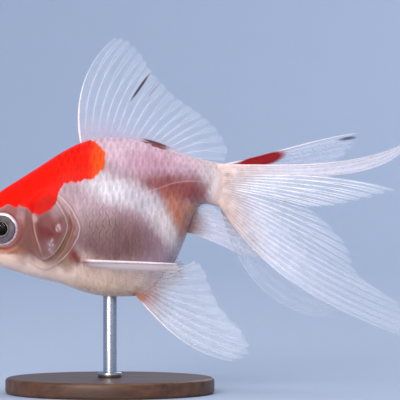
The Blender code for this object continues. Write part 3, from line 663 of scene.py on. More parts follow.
def buildScales(side, flank, material, seed):
    # every scale is a thin curved plate: its root is tucked under, its round edge stands free
    plan, seats = scalePlan, scaleSeats(flank)
    chance = np.random.default_rng(seed)
    rows, columns = plan["cells"]
    along = 1 - np.linspace(1, 0, rows) ** 1.25
    p, q = np.meshgrid(along, np.linspace(-1, 1, columns), indexing="ij")
    outline = np.where(p > 0.4, np.sqrt(np.clip(1 - ((p - 0.4) / 0.605) ** 2, 0, 1)), 0.72 + 0.7 * p)
    x, row, pitch = (column[:, None, None] for column in seats.T)
    one = (len(seats), 1, 1)  # a number for each scale
    twist = chance.normal(0, plan["twist"], one)
    length = plan["length"] * pitch
    offX = (p - plan["middle"]) * length
    offRow = q * outline * plan["halfWidth"]
    placeX = x + offX + twist * offRow * flank.rowStep(x)
    down = (row + offRow + twist * offX / 2) * flank.rowStep(placeX)
    points, normals = flank.at(placeX, down)
    behind, high = behindHead(points), points[..., 2]
    # the first scales behind the head hardly lift, nor do those of the belly
    grown = (0.2 + 0.8 * ease(behind, -0.5, 3.0)) * (0.55 + 0.45 * ease(high, 29.0, 43.0))
    lift = plan["lift"] * chance.uniform(1 - plan["vary"], 1 + plan["vary"], one) * grown
    height = lift * (p**1.4 + 0.2 * (1 - q**2) * ease(p, 0.3, 0.8))
    height -= plan["tuck"] * ease(0.56 - p, 0, 0.42) * (2 - grown)
    height += headRelief(points) * ease(behind, 1.5, 3.0) - bodyShape["coatDepth"] + plan["clearance"]
    # along the head's edge they sink into the skin, over a longer way on the belly
    sinking = 1.3 + 1.5 * (1 - ease(high, 29.0, 32.0))
    height -= plan["bury"] * ease(1 - behind / sinking, 0, 1) + 0.04 * q**4 * ease(0.85 - p, 0, 0.4)
    top = points + normals * height[..., None]
    under = top - normals * plan["thickness"]
    size = 2 * rows * columns
    plate = closedSheet(rows, columns)
    if side > 0:
        plate = plate[:, ::-1]
    faces = (plate[None] + (np.arange(len(seats)) * size)[:, None, None]).reshape(-1, 4)
    cloud = np.stack([top, under], 1).reshape(-1, 3) * (1, side, 1)
    # a scale takes part of its colour from the middle of its free part
    step = flank.rowStep(seats[:, 0])
    freeMiddle = flank.at(seats[:, 0] + 0.6 * seats[:, 2], seats[:, 1] * step)[0] * (1, side, 1)
    middle = np.repeat(freeMiddle, size, axis=0)
    # place on the free part: about -1 to 1 along the fish and across it
    free = np.stack([(p - 0.77) * 2 * plan["length"], offRow, 0 * p], -1).reshape(-1, 3)
    values = {"seat": middle + plan["blend"] * (cloud - middle),
              "own": np.repeat(chance.uniform(0, 1, len(seats)), size),
              "free": np.tile(free, (2 * len(seats), 1))}
    name = "scalesLeft" if side < 0 else "scalesRight"
    piece = makePiece(name, cloud, faces, material, values)
    # each scale is a tiny patch of the map, at its root's place on the body's unwrap
    low, high = flank.ends(seats[:, 0])
    share = (seats[:, 1] * step - low) / (high - low)
    root = np.stack([(seats[:, 0] - lineTable[0][0]) / (lineTable[0][-1] - lineTable[0][0]),
                     0.5 + side * plan["mapHalf"] * (1 - share)], -1)
    patch = np.stack([(p - 0.5).ravel(), (0.5 * q).ravel()], -1) * plan["mapPatch"]
    bakeMap(piece, (root[:, None, :] + np.tile(patch, (2, 1))[None]).reshape(-1, 2)[faces.ravel()])
    print(piece.name, len(seats), "scales", 2 * len(faces), "triangles")


scaleFinish = {
    "centre": (0.2, 0.75, 0.79, 1.08),  # reach where a scale is darkest and palest, and those shades
    # the free edge is partly pale of its own, and partly painted light that offsets the shadows between the
    # scales
    "edge": (0.84, 1.02, 1.0, 1.25),  # the same for its free edge
    "plain": (42.0, 27.0, 0, 0.8),  # heights between which the pattern fades, and how far
    "vary": (0.9, 1.1),  # shades from one scale to the next
    "streakScale": (1.7, 0.6, 0.35),  # streaks for each mm along, across and up the fish
    "streaks": (0.88, 1.1),
    "line": "#e6d2d8",
    "lineEdge": (0.26, 0.06, 0, 0.2),  # mm from its middle where the line ends and is full, and how full
    "lineStarts": (5.5, 8.0),  # x where it starts and where it is full
    "roughness": (0.26, 0.42), "ior": 1.45,
    # growth rings, coarser than real ones so that they show: radians for each reach of 1, and mm
    "rings": 45.0, "ringShows": 0.06, "ringDepth": 0.02,
}


def pearlScaleMaterial():
    # thin bony scale over silver guanine: pearly, darker in the middle, pale at its free edge, which is
    # painted lighter still against the shadows in the gaps between scales
    material, tree, shader = newMaterial("pearly goldfish scale")
    finish = scaleFinish
    seat, colour, shine = markingColour(tree)
    own = addNode(tree, "Attribute", attribute_name="own").outputs["Fac"]
    free = addNode(tree, "Attribute", attribute_name="free").outputs["Vector"]
    reach = addNode(tree, "VectorMath", {0: free}, operation="LENGTH")
    rim = addNode(tree, "MapRange", {"Value": reach, **limits(*finish["centre"])},
                  interpolation_type="SMOOTHSTEP")
    # painted light: the free edge brightened against the gaps' shadows, over its own pale colour
    pale = addNode(tree, "MapRange", {"Value": reach, **limits(*finish["edge"])})
    rim = addNode(tree, "Math", {0: rim, 1: pale}, operation="MULTIPLY")
    height = addNode(tree, "SeparateXYZ", {0: seat}).outputs[2]
    plain = addNode(tree, "MapRange", {"Value": height, **limits(*finish["plain"])})
    rim = addNode(tree, "Mix", {0: plain, 2: rim, 3: 1.0})
    vary, gloss = (addNode(tree, "MapRange", {"Value": own, **limits(0, 1, *finish[key])})
                   for key in ("vary", "roughness"))
    both = addNode(tree, "Math", {0: rim, 1: vary}, operation="MULTIPLY")
    # streaky shades up the flank: partly random tone, partly painted glints off the silver
    upright = addNode(tree, "Mapping", {"Vector": seat, "Scale": finish["streakScale"]})
    streak = addNode(tree, "TexNoise", {"Vector": upright, "Scale": 1.0, "Detail": 3.0})
    glint = addNode(tree, "MapRange", {"Value": streak, **limits(*noiseSpan, *finish["streaks"])})
    both = addNode(tree, "Math", {0: both, 1: glint}, operation="MULTIPLY")
    toned = addNode(tree, "VectorMath", {0: colour, "Scale": both}, operation="SCALE")
    # the lateral line: a pale thread over the rear half
    real = addNode(tree, "TexCoord").outputs["Object"]
    inMm = addNode(tree, "VectorMath", {0: real, "Scale": 1 / mm}, operation="SCALE")
    axes = addNode(tree, "SeparateXYZ", {0: inMm}).outputs
    off = addNode(tree, "Math", {0: heightOver(tree, axes, markings["lateralLine"])}, operation="ABSOLUTE")
    thread = addNode(tree, "MapRange", {"Value": off, **limits(*finish["lineEdge"])},
                     interpolation_type="SMOOTHSTEP")
    begin = addNode(tree, "MapRange", {"Value": axes[0], **limits(*finish["lineStarts"])})
    mask = addNode(tree, "Math", {0: thread, 1: begin}, operation="MULTIPLY")
    lined = addNode(tree, "Mix", {0: mask, 6: toned, 7: linear(finish["line"])}, data_type="RGBA")
    growth = addNode(tree, "Math", {0: reach, 1: finish["rings"]}, operation="MULTIPLY")
    rings = addNode(tree, "Math", {0: growth}, operation="SINE")
    relief = addNode(tree, "Bump", {"Height": rings, "Strength": finish["ringShows"],
                                    "Distance": finish["ringDepth"] * mm})
    fillInputs(tree, shader, {"Base Color": lined, "Roughness": gloss, "Normal": relief})
    wetSurface(tree, shader, shine, finish["ior"])
    return material


# each fin: its root line, and key rays as (place on the root, length, heading at root, middle
# and tip, splay at root and tip); how many rays it has and their radius; the radius of the leading
# ray if it has one, and the shares of the length where that one rises and fades; the flesh at the
# root; the ripple's height and its waves; the length in the body (tuck) and the one that headings
# are counted over (reach); and how clearly its rays show across the fin (gleam)
finShapes = {
    "dorsal_fin": {
        "root": [(-6.2, 0, 54.4), (0.8, 0, 55.2), (8.4, 0, 54.0), (15.4, 0, 51.7)],
        "rays": [(0.00, 26.55, 102, 74, 36, 0, 0), (0.10, 25.4, 97, 71, 45, 0, 0),
                 (0.25, 21.2, 86, 66, 48, 0, 0), (0.40, 17.0, 76, 63, 50, 0, 0),
                 (0.55, 14.0, 63, 51, 40, 0, 0), (0.70, 13.2, 48, 37, 26, 0, 0),
                 (0.85, 12.8, 33, 21, 10, 0, 0), (0.95, 11.7, 14, 5, -4, 0, 0),
                 (1.00, 10.0, 2, -5, -10, 0, 0)],
        "count": 18, "radius": 0.14, "lead": 0.3, "leadFades": (0.3, 0.7), "flesh": 0.3,
        "ripple": (0.16, 3.0), "tint": "back"},
    "pectoral_fin": {
        "root": [(-6.9, 8.3, 29.4), (-6.4, 8.0, 28.0), (-6.0, 7.5, 26.6)],
        "rays": [(0.00, 25.6, -1, -1, -1, 34, 27), (0.20, 26.2, -3, -4, -3, 31, 25),
                 (0.50, 25.0, -8, -9, -7, 25, 21), (0.80, 19.5, -14, -15, -12, 18, 16),
                 (1.00, 14.0, -18, -19, -17, 14, 13)],
        "count": 14, "tuck": 1.2, "radius": 0.12, "lead": 0.48, "leadTaper": 0.4, "leadRises": (0.0, 0.2),
        "leadFades": (0.7, 1.02), "flesh": 0.4, "ripple": (0.12, 2.0), "tint": "pectoral",
        "gleam": [(0, 1), (0.07, 5), (0.16, 3), (0.26, 1), (0.6, 0.6), (1, 0.3)]},
    "pelvic_fin": {
        "root": [(5.3, 3.4, 22.6), (7.5, 3.4, 23.7), (9.5, 3.3, 25.0)],
        "rays": [(0.00, 27.8, -52, -37, -6, 14, 8), (0.15, 29.0, -48, -31, -12, 15, 9),
                 (0.35, 26.4, -36, -25, -14, 17, 10), (0.50, 19.5, -27, -18, -10, 19, 11),
                 (0.70, 14.6, -7, -3, 2, 22, 13), (0.85, 12.8, 12, 14, 16, 24, 14),
                 (1.00, 10.8, 24, 25, 26, 25, 15)],
        "count": 11, "radius": 0.16, "lead": 0.24, "leadFades": (0.0, 0.8), "flesh": 0.5,
        "ripple": (0.16, 2.0), "tint": "pelvic"},
    "anal_fin": {
        "root": [(16.2, 0.8, 35.6), (18.0, 0.8, 41.8)],
        "rays": [(0.00, 13.4, -14, -23, -28, 3, 5), (0.16, 18.6, -14, -22, -28, 3, 5),
                 (0.50, 15.0, -9, -15, -20, 3, 4), (0.80, 7.4, -7, -10, -13, 2, 3),
                 (1.00, 4.8, -5, -7, -9, 1, 2)],
        "count": 8, "radius": 0.14, "lead": 0.18, "leadFades": (0.0, 0.6), "flesh": 0.6,
        "ripple": (0.08, 2.0), "tint": "anal"},
    "tail_left_top": {
        "root": [(24.6, 0.75, 50.1), (24.65, 0.8, 47.7)], "reach": 45.0, "tuck": 2.2, "flesh": 1.2,
        "rays": [(0.00, 45.3, 1, 5, 32, 3, 6), (0.33, 44.3, 0, 5, 37, 9, 7), (0.62, 41.5, -1, 3, 45, 15, 8),
                 (0.74, 28.0, -1, 2, 30, 17, 8), (1.00, 25.0, 0, 0, 4, 20, 8)],
        "count": 7, "radius": 0.18, "lead": 0.24, "ripple": (0.1, 1.5), "tint": "tailStrip"},
    "tail_left_middle": {
        "root": [(24.65, 0.8, 47.9), (24.7, 0.9, 45.1)], "reach": 45.0, "tuck": 2.2, "flesh": 1.2,
        "rays": [(0.00, 39.5, -1, -4, -26, 24, 8), (0.33, 33.5, -3, -9, -26, 25, 9),
                 (0.67, 27.0, -6, -14, -25, 26, 11), (1.00, 21.0, -8, -18, -24, 27, 12)],
        "count": 8, "radius": 0.18, "ripple": (0.22, 2.5), "tint": "tailMiddle"},
    "tail_left_low": {
        "root": [(24.7, 0.95, 45.3), (24.6, 1.3, 40.6)], "reach": 45.0, "tuck": 2.2, "flesh": 1.2,
        "rays": [(0.00, 21.8, -10, -19, -25, 27, 12), (0.17, 31.2, -18, -25, -28, 28, 13),
                 (0.38, 36.0, -25, -31, -32, 28, 14), (0.58, 46.0, -38, -30, -24, 28, 14),
                 (0.83, 53.0, -50, -34, -22, 28, 13), (1.00, 54.5, -60, -36, -22, 28, 12)],
        "count": 14, "radius": 0.17, "ripple": (0.24, 3.5), "tint": "tail",
        "gleam": [(0, 1.5), (0.25, 1.3), (0.42, 0.6), (1, 0.45)]},
    "tail_right_top": {
        "root": [(24.6, 0.75, 50.1), (24.65, 0.8, 47.0)], "reach": 38.0, "tuck": 2.2, "flesh": 1.2,
        "rays": [(0.00, 31.3, 11, 15, 2, 5, 10), (0.33, 30.4, 8, 12, 2, 8, 10),
                 (0.66, 26.0, 4, 6, 0, 14, 10), (1.00, 19.0, -4, -4, -8, 20, 10)],
        "count": 9, "radius": 0.18, "lead": 0.3, "ripple": (0.12, 2.0), "tint": "tailFar"},
    "tail_right_low": {
        "root": [(24.65, 0.85, 47.1), (24.6, 1.3, 40.6)], "reach": 42.0, "tuck": 2.2, "flesh": 1.2,
        "rays": [(0.00, 19.5, -8, -12, -17, 24, 10), (0.25, 26.0, -20, -22, -20, 26, 12),
                 (0.50, 32.0, -38, -32, -20, 28, 13), (0.80, 39.0, -64, -41, -10, 28, 13),
                 (1.00, 41.5, -80, -47, 0, 28, 12)],
        "count": 15, "radius": 0.17, "ripple": (0.24, 3.5), "tint": "tail",
        "gleam": [(0, 0.8), (1, 0.45)]},
}
membraneBuild = {
    "thickness": (0.22, 0.09),  # mm at root and margin
    "cells": (56, 34),  # across its rays, and along them
    "scallop": 0.018,  # share of its length that the margin dips between rays
    "fleshReach": 7.0,  # mm that the body's flesh runs out over the roots of the rays
    "fleshThins": 0.6,  # share of the flesh that is lost towards both ends of the root
}


fanBuild = {
    # points across a fin, steps along its rays, and how many finer steps each of those is walked in
    "across": 121, "along": 60, "finer": 3,
    "rippleGrows": 1.4, "rippleTurns": 0.55,  # power of its growth, and how it turns, root to margin
}


def headingWay(heading, splay, side):
    # unit vectors from headings in the fish's plane and splays out of it, in degrees
    heading, splay = np.radians(heading), np.radians(splay)
    return np.stack([np.cos(splay) * np.cos(heading), side * np.sin(splay),
                     np.cos(splay) * np.sin(heading)], -1)


class Fan:
    # a fin's sheet as a table of points: across its rays, and along them
    def __init__(self, shape, side):
        self.u = np.linspace(0, 1, fanBuild["across"])
        cells, fine = fanBuild["along"], fanBuild["finer"]
        places = [row[0] for row in shape["rays"]]
        rows = curveThrough(places, [row[1:] for row in shape["rays"]], self.u)
        length, first, middle, last, splayRoot, splayTip = rows.T[:, :, None]
        root = curveThrough(np.linspace(0, 1, len(shape["root"])), shape["root"], self.u) * (1, side, 1)
        tuck = shape.get("tuck", 0.0)  # mm that its rays run on inside the body
        self.length = length[:, 0] + tuck
        step = (length + tuck) / (cells * fine)
        root = root - tuck * headingWay(first, splayRoot, side)[:, 0]
        v = np.maximum((np.arange(cells * fine)[None] + 0.5) * step - tuck, 0) / shape.get("reach", length)
        heading = first * (1 - v) * (1 - 2 * v) + middle * 4 * v * (1 - v) + last * v * (2 * v - 1)
        way = headingWay(heading, splayRoot + (splayTip - splayRoot) * v, side)
        walked = root[:, None] + np.cumsum(way * step[..., None], axis=1)
        self.points = np.concatenate([root[:, None], walked], axis=1)[:, ::fine]
        self.normals = gridNormals(self.points)
        size, waves = shape["ripple"]
        out = np.linspace(0, 1, cells + 1)[None]
        wave = np.sin(2 * math.pi * (waves * self.u[:, None] + fanBuild["rippleTurns"] * out))
        wave = size * out ** fanBuild["rippleGrows"] * wave
        self.points = self.points + self.normals * wave[..., None]
        self.normals = gridNormals(self.points)

    def at(self, u, v):
        # points and normals of the sheet
        rows, columns = self.points.shape[:2]
        return readTables((self.points, self.normals), np.clip(u, 0, 1) * (rows - 1.001),
                          np.clip(v, 0, 1) * (columns - 1.001))


def buildMembrane(node, fan, shape, material):
    # the clear skin between the rays, a thin closed sheet whose margin dips between ray tips
    across, along = membraneBuild["cells"]
    u, v = np.meshgrid(np.linspace(0, 1, across + 1), np.linspace(0, 1, along + 1), indexing="ij")
    spread = u * (shape["count"] - 1)  # counts the rays
    dip = membraneBuild["scallop"] * (1 - np.cos(2 * math.pi * spread))
    points, normals = fan.at(u, v * (1 - dip))
    rootThick, marginThick = membraneBuild["thickness"]
    fromRoot = v * np.interp(u, fan.u, fan.length)
    flesh = shape["flesh"] * (1 - ease(fromRoot, 0, membraneBuild["fleshReach"])) ** 1.5
    flesh = flesh * (1 - membraneBuild["fleshThins"] * (2 * u - 1) ** 4)
    half = ((rootThick + (marginThick - rootThick) * v + flesh) / 2)[..., None]
    cloud = np.vstack([(points + normals * half).reshape(-1, 3), (points - normals * half).reshape(-1, 3)])
    values = {"seat": cloud, "spread": np.tile(spread.ravel(), 2), "out": np.tile(v.ravel(), 2)}
    piece = makePiece(node.replace("_", "") + "Membrane", cloud, closedSheet(*u.shape), material, values)
    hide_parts(node)


rayBuild = {
    "sides": 5, "flat": 0.8,  # a ray is a little thinner than wide
    "end": 0.99, "leadTaper": 0.25,  # how far the leading ray runs, and what is left of its radius there
    "fork": 0.44, "twigs": 0.7,  # shares of its length where a ray forks, and forks again
    "branchOff": 0.21, "twigOff": 0.1,  # how far each goes to its side, in gaps between rays
    "branchWay": 0.36, "twigWay": 0.25,  # share of the length over which it does
    "stemEnds": 0.8, "branch": (0.62, 0.48), "twig": (0.42, 0.2),  # radius at the ends, by the stem's
}


def rayPaths(shape):
    # every stretch of ray as (track across the fin, from, to, radius at both ends, leading):
    # a stem that forks and forks again, as a soft ray does; the leading ray stays whole
    build, last = rayBuild, shape["count"] - 1
    gap = 1 / last
    for k in range(shape["count"]):
        middle, radius = k * gap, shape["radius"]
        stem = lambda v, m=middle: m + 0 * v
        if k == 0 and "lead" in shape:
            tip = shape["lead"] * shape.get("leadTaper", build["leadTaper"])
            yield stem, 0.0, build["end"], shape["lead"], tip, True
            continue
        fork, twigs = build["fork"] + 0.05 * (k % 3), build["twigs"] + 0.04 * (k % 2)
        yield stem, 0.0, fork, radius, radius * build["stemEnds"], False
        for a in (-build["branchOff"], build["branchOff"]):
            if (k == last and a > 0) or (k == 0 and a < 0):
                continue
            branch = lambda v, m=middle, a=a, f=fork: m + a * gap * ease(v, f, f + build["branchWay"])
            yield branch, fork, twigs, radius * build["branch"][0], radius * build["branch"][1], False
            for b in (-build["twigOff"], build["twigOff"]):
                twig = lambda v, own=branch, b=b, t=twigs: own(v) + b * gap * ease(v, t, t + build["twigWay"])
                end = 0.995 - 0.012 * (k % 4)
                yield twig, twigs, end, radius * build["twig"][0], radius * build["twig"][1], False


def buildRays(node, fan, shape, material):
    # all the rays of a fin in one piece, as slightly flat tubes
    sides, points, faces, outs, leads, gleams = rayBuild["sides"], [], [], [], [], []
    spin = np.arange(sides) * 2 * math.pi / sides
    fades, rises = shape.get("leadFades", (0.3, 1.5)), shape.get("leadRises", (-1, 0))
    gleam = shape.get("gleam", [(0, 1), (1, 1)])
    first = 0
    for track, start, end, startRadius, endRadius, leading in rayPaths(shape):
        steps = max(5, int(22 * (end - start)) + 2)
        v = np.linspace(start, end, steps)
        centre, normal = fan.at(track(v), v)
        over = unit(np.cross(np.gradient(centre, axis=0), normal))
        radius = np.linspace(startRadius, endRadius, steps)[:, None, None]
        ring = (centre[:, None] + radius * np.cos(spin)[None, :, None] * over[:, None]
                + rayBuild["flat"] * radius * np.sin(spin)[None, :, None] * normal[:, None])
        points.append(ring.reshape(-1, 3))
        outs.append(np.repeat(v, sides))
        leads.append(leading * (1 - ease(outs[-1], *fades)) * ease(outs[-1], *rises))
        gleams.append(np.interp(np.repeat(track(v), sides), *zip(*gleam)))
        faces += [tuple(f) for f in gridFaces(steps, sides, wrap=True, first=first)]
        faces.append(tuple(first + k for k in range(sides)))
        faces.append(tuple(first + (steps - 1) * sides + k for k in range(sides))[::-1])
        first += steps * sides
    cloud = np.vstack(points)
    values = {"seat": cloud, "out": np.concatenate(outs), "lead": np.concatenate(leads),
              "gleam": np.concatenate(gleams)}
    makePiece(node.replace("_", "") + "Rays", cloud, faces, material, values)


finFinish = {
    # tints: colour near the body, colour further out, cover of one film at the root, a quarter
    # of the way out, middle and margin, and the same four for the rays
    "back": ("#dcc4d8", "#f0f2fc", (0.24, 0.10, 0.07, 0.05), (0.42, 0.26, 0.20, 0.14)),
    "pectoral": ("#cf9a86", "#d9c3b8", (0.20, 0.05, 0.04, 0.07), (0.16, 0.03, 0.05, 0.34)),
    "pelvic": ("#b98a7e", "#e8edfa", (0.60, 0.18, 0.10, 0.07), (0.60, 0.28, 0.22, 0.15)),
    "anal": ("#a07a6e", "#dde0ee", (0.80, 0.28, 0.18, 0.13), (0.70, 0.32, 0.24, 0.16)),
    "tailStrip": ("#dec4bd", "#dad7e6", (0.96, 0.54, 0.38, 0.26), (0.05, 0.44, 0.36, 0.28)),
    "tailMiddle": ("#dec3bb", "#f4f6fe", (0.96, 0.36, 0.14, 0.06), (0.05, 0.90, 0.75, 0.22)),
    "tail": ("#d4bab1", "#e9ecf8", (0.96, 0.34, 0.09, 0.04), (0.05, 0.55, 0.26, 0.12)),
    "tailFar": ("#c8adb2", "#dfe4f4", (0.96, 0.42, 0.24, 0.20), (0.05, 0.26, 0.20, 0.14)),
    "ray": ("#d2b9b3", "#fdfdff"), "leadRay": "#fbeef0",  # rays near the body and further out
    "coverAt": (0.03, 0.25, 0.6, 1.0),  # shares of the length where those four covers hold
    "turns": (0.02, 0.4),  # shares of the length between which the near colour gives way to the far
    "roughness": {"ray": 0.28, "membrane": 0.4}, "ior": {"ray": 1.45, "membrane": 1.38},
    "jointScale": 2.2, "joints": (0.8, 1.08),  # joints for each mm of ray, and how their cover differs
    "leadCover": 0.7,  # cover that a leading ray has more than the others
    "folds": 4, "foldShows": 0.05,  # fine folds from one ray to the next
    "swellShows": 0.16, "swellFrom": (0.04, 0.16),  # the milkier strip along each ray, from the root on
    "cloudScale": 0.6,  # milky clouds for each mm of membrane
    "clouds": (0.2, 0.8, 0.55, 1.5),  # from and to which of their values, and cover at those two
    "relief": 0.08,  # mm
}
finMarks = {
    "back": [("streak", (6.6, 67.3), (4.0, 0.34), -55, 0.5, 1.0, "#10153a"),
             ("faint streak", (9.6, 66.6), (2.5, 0.22), -50, 0.6, 0.7, "#26305e"),
             ("dark base", (10.1, 55.0), (3.0, 0.34), 18, 0.4, 0.98, "#4a0c10")],
    "tailFar": [("red root", (33.2, 51.3), (5.6, 1.45), -15, 0.25, 1.0, "#980c13"),
                ("black tip", (52.6, 56.2), (2.0, 0.4), -10, 0.7, 0.85, "#1b2140")],
    "pelvic": [("orange base", (6.6, 21.8), (1.6, 1.5), 0, 0.6, 0.8, "#b0643c")],
    "pectoral": [("milky edge", (5.4, 28.3), (10.5, 0.7), 1.5, 0.6, 0.72, "#e8d8de"),
                 ("fleshy base", (-6.2, 29.2), (1.6, 1.3), 0, 0.6, 0.8, "#b9705f")],
}


def finMaterial(tint, forRays):
    # fin membrane: two films of clear skin, milky near the body; rays are jointed clear bone
    root, far, covers, rayCovers = finFinish[tint]
    kind = "ray" if forRays else "membrane"
    if forRays:
        (root, far), covers = finFinish["ray"], rayCovers
    material, tree, shader = newMaterial("fin " + kind + " " + tint)
    seat = addNode(tree, "Attribute", attribute_name="seat").outputs["Vector"]
    out = addNode(tree, "Attribute", attribute_name="out").outputs["Fac"]
    near = addNode(tree, "MapRange", {"Value": out, **limits(*finFinish["turns"])},
                   interpolation_type="SMOOTHSTEP")
    colour = addNode(tree, "Mix", {0: near, 6: linear(root), 7: linear(far)}, data_type="RGBA")
    alpha = addNode(tree, "ValToRGB", {"Fac": out})
    fillRamp(alpha, [(place, (level,) * 3 + (1,)) for place, level in zip(finFinish["coverAt"], covers)])
    if forRays:
        joints = addNode(tree, "TexNoise", {"Vector": seat, "Scale": finFinish["jointScale"], "Detail": 2.0})
        gain = addNode(tree, "MapRange", {"Value": joints, **limits(*noiseSpan, *finFinish["joints"])})
        gleam = addNode(tree, "Attribute", attribute_name="gleam").outputs["Fac"]
        alpha = addNode(tree, "Math", {0: alpha, 1: gleam}, operation="MULTIPLY")
        lead = addNode(tree, "Attribute", attribute_name="lead").outputs["Fac"]
        colour = addNode(tree, "Mix", {0: lead, 6: colour, 7: linear(finFinish["leadRay"])}, data_type="RGBA")
        alpha = addNode(tree, "Math", {0: lead, 1: finFinish["leadCover"], 2: alpha},
                        operation="MULTIPLY_ADD", use_clamp=True)
        height, strength = joints, 0.3
    else:
        # fine folds run out with the rays, with milky clouds between them
        spread = addNode(tree, "Attribute", attribute_name="spread").outputs["Fac"]
        fold, swell = (addNode(tree, "Math", {0: spread, 1: 2 * math.pi * each}, operation="MULTIPLY")
                       for each in (finFinish["folds"], 1))
        lines, band = (addNode(tree, "Math", {0: wave}, operation="COSINE") for wave in (fold, swell))
        begin = addNode(tree, "MapRange", {"Value": out, **limits(*finFinish["swellFrom"])})
        band = addNode(tree, "Math", {0: band, 1: begin}, operation="MULTIPLY")
        milk = addNode(tree, "TexNoise", {"Vector": seat, "Scale": finFinish["cloudScale"], "Detail": 3.0})
        lines = addNode(tree, "Math", {0: lines, 1: near}, operation="MULTIPLY")
        for wave, shows in ((lines, finFinish["foldShows"]), (band, finFinish["swellShows"])):
            milk = addNode(tree, "Math", {0: wave, 1: shows, 2: milk}, operation="MULTIPLY_ADD")
        gain = addNode(tree, "MapRange", {"Value": milk, **limits(*finFinish["clouds"])})
        height, strength = lines, 0.15
    relief = addNode(tree, "Bump", {"Height": height, "Strength": strength,
                                    "Distance": finFinish["relief"] * mm})
    alpha = addNode(tree, "Math", {0: alpha, 1: gain}, operation="MULTIPLY", use_clamp=True)
    # a mark covers the clear film as well as colouring it
    for name, middle, half, tilt, soft, strength, code in finMarks.get(tint, []):
        mask = ovalMask(tree, seat, middle, half, tilt, soft, strength)
        colour = addNode(tree, "Mix", {0: mask, 6: colour, 7: linear(code)}, data_type="RGBA")
        alpha = addNode(tree, "Math", {0: alpha, 1: mask}, operation="MAXIMUM")
    fillInputs(tree, shader, {"Base Color": colour, "Alpha": alpha, "Normal": relief,
                              "Roughness": finFinish["roughness"][kind], "IOR": finFinish["ior"][kind]})
    return material


def buildFins():
    # both fins of a pair share one shape, and each lobe of the tail has its own
    for label, shape in finShapes.items():
        membrane, ray = finMaterial(shape["tint"], False), finMaterial(shape["tint"], True)
        if label == "dorsal_fin":
            sides = [("dorsal_fin", 1)]
        elif label.startswith("tail_"):
            sides = [(label, -1 if "left" in label else 1)]
        else:
            sides = [(label + "_left", -1), (label + "_right", 1)]
        for node, side in sides:
            fan = Fan(shape, side)
            buildMembrane(node, fan, shape, membrane)
            buildRays(node, fan, shape, ray)
    print("fins built:", len(finShapes), "shapes")


eyeShape = {
    "turn": 12.0,  # degrees that the eye looks forward
    # radius and height above the ball's middle, in mm, from behind the rim to the centre
    "ball": [(0.02, -1.6), (2.0, -1.5), (3.2, -1.0), (3.62, -0.3), (3.66, 0.3), (3.55, 0.85), (3.4, 1.2),
             (3.22, 1.4), (3.05, 1.46), (2.95, 1.4), (2.8, 1.38), (2.4, 1.5), (1.95, 1.66), (1.72, 1.78),
             (1.56, 1.82), (1.44, 1.74), (1.3, 1.5), (0.02, 1.4)],
    "pupil": [(0.02, 1.35), (1.3, 1.4), (1.45, 1.62), (1.44, 1.78), (1.29, 1.92), (1.0, 2.04), (0.65, 2.12),
              (0.3, 2.16), (0.02, 2.17)],
    "cornea": [(0.02, 1.25), (2.8, 1.2), (3.02, 1.3), (2.96, 1.56), (2.76, 1.84), (2.35, 2.12), (1.8, 2.34),
               (1.1, 2.49), (0.5, 2.55), (0.02, 2.56)],
    "spokes": 64,
    "ringReach": 3.8,  # mm from the middle of the eye at which the ring colours end
    # colour by share of that reach
    "rings": [(0.37, "#171216"), (0.395, "#8c7a66"), (0.415, "#a89a90"), (0.44, "#4c4046"), (0.56, "#74676e"),
              (0.66, "#64575d"), (0.73, "#382b2f"), (0.765, "#564a4c"), (0.79, "#eee1e7"), (0.88, "#fbf4f7"),
              (0.925, "#d9aab0"), (0.965, "#8a4640")],
    "wobble": 0.035,  # the band that the rings' edges stray in, as a share of that reach
    "cloudScale": 1.3, "clouds": (0.7, 1.15),  # cloudy places for each mm, and their shades
    # the iris is painted darker above, as shade: from and to which mm over its middle, and inside which ring
    "shaded": ("#150d13", 0.9), "shadedFrom": (0.2, 2.2), "shadedWithin": (0.785, 0.765),
    # the white rim is widest above: by how much, over which mm, and outside which ring
    "rimNarrows": 0.065, "rimFrom": (2.6, 0.4), "rimOutside": (0.5, 0.75),
    "set": 0.4,  # mm that it sits behind the middle of its solid
}


def buildEye(side, materials):
    name = "left" if side < 0 else "right"
    low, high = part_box("eye_" + name)
    centre = (np.array(low) + np.array(high)) / 2 / mm + (eyeShape["set"], 0, 0)
    turn = math.radians(eyeShape["turn"])
    outward = np.array([-math.sin(turn), side * math.cos(turn), 0])
    over, up = np.array([math.cos(turn), side * math.sin(turn), 0]), np.array([0, 0, 1.0])
    spin = np.arange(eyeShape["spokes"]) * 2 * math.pi / eyeShape["spokes"]
    circle = np.cos(spin)[None, :, None] * over + np.sin(spin)[None, :, None] * up
    for part, material in materials.items():
        knots = np.array(eyeShape[part])
        rows = curveThrough(range(len(knots)), knots, np.linspace(0, len(knots) - 1, 4 * len(knots)))
        radius, height = np.maximum(rows[:, 0], 0.01)[:, None, None], rows[:, 1][:, None, None]
        points = (centre + radius * circle + height * outward).reshape(-1, 3)
        faces = gridFaces(len(rows), len(spin), wrap=True)
        if side > 0:
            faces = faces[:, ::-1]
        ring = np.repeat(np.minimum(rows[:, 0] / eyeShape["ringReach"], 1.0), len(spin))
        values = {"seat": points, "ring": ring}
        piece = makePiece(part + "_" + name, points, faces, material, values)
        if part == "ball":
            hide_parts("eye_" + name)


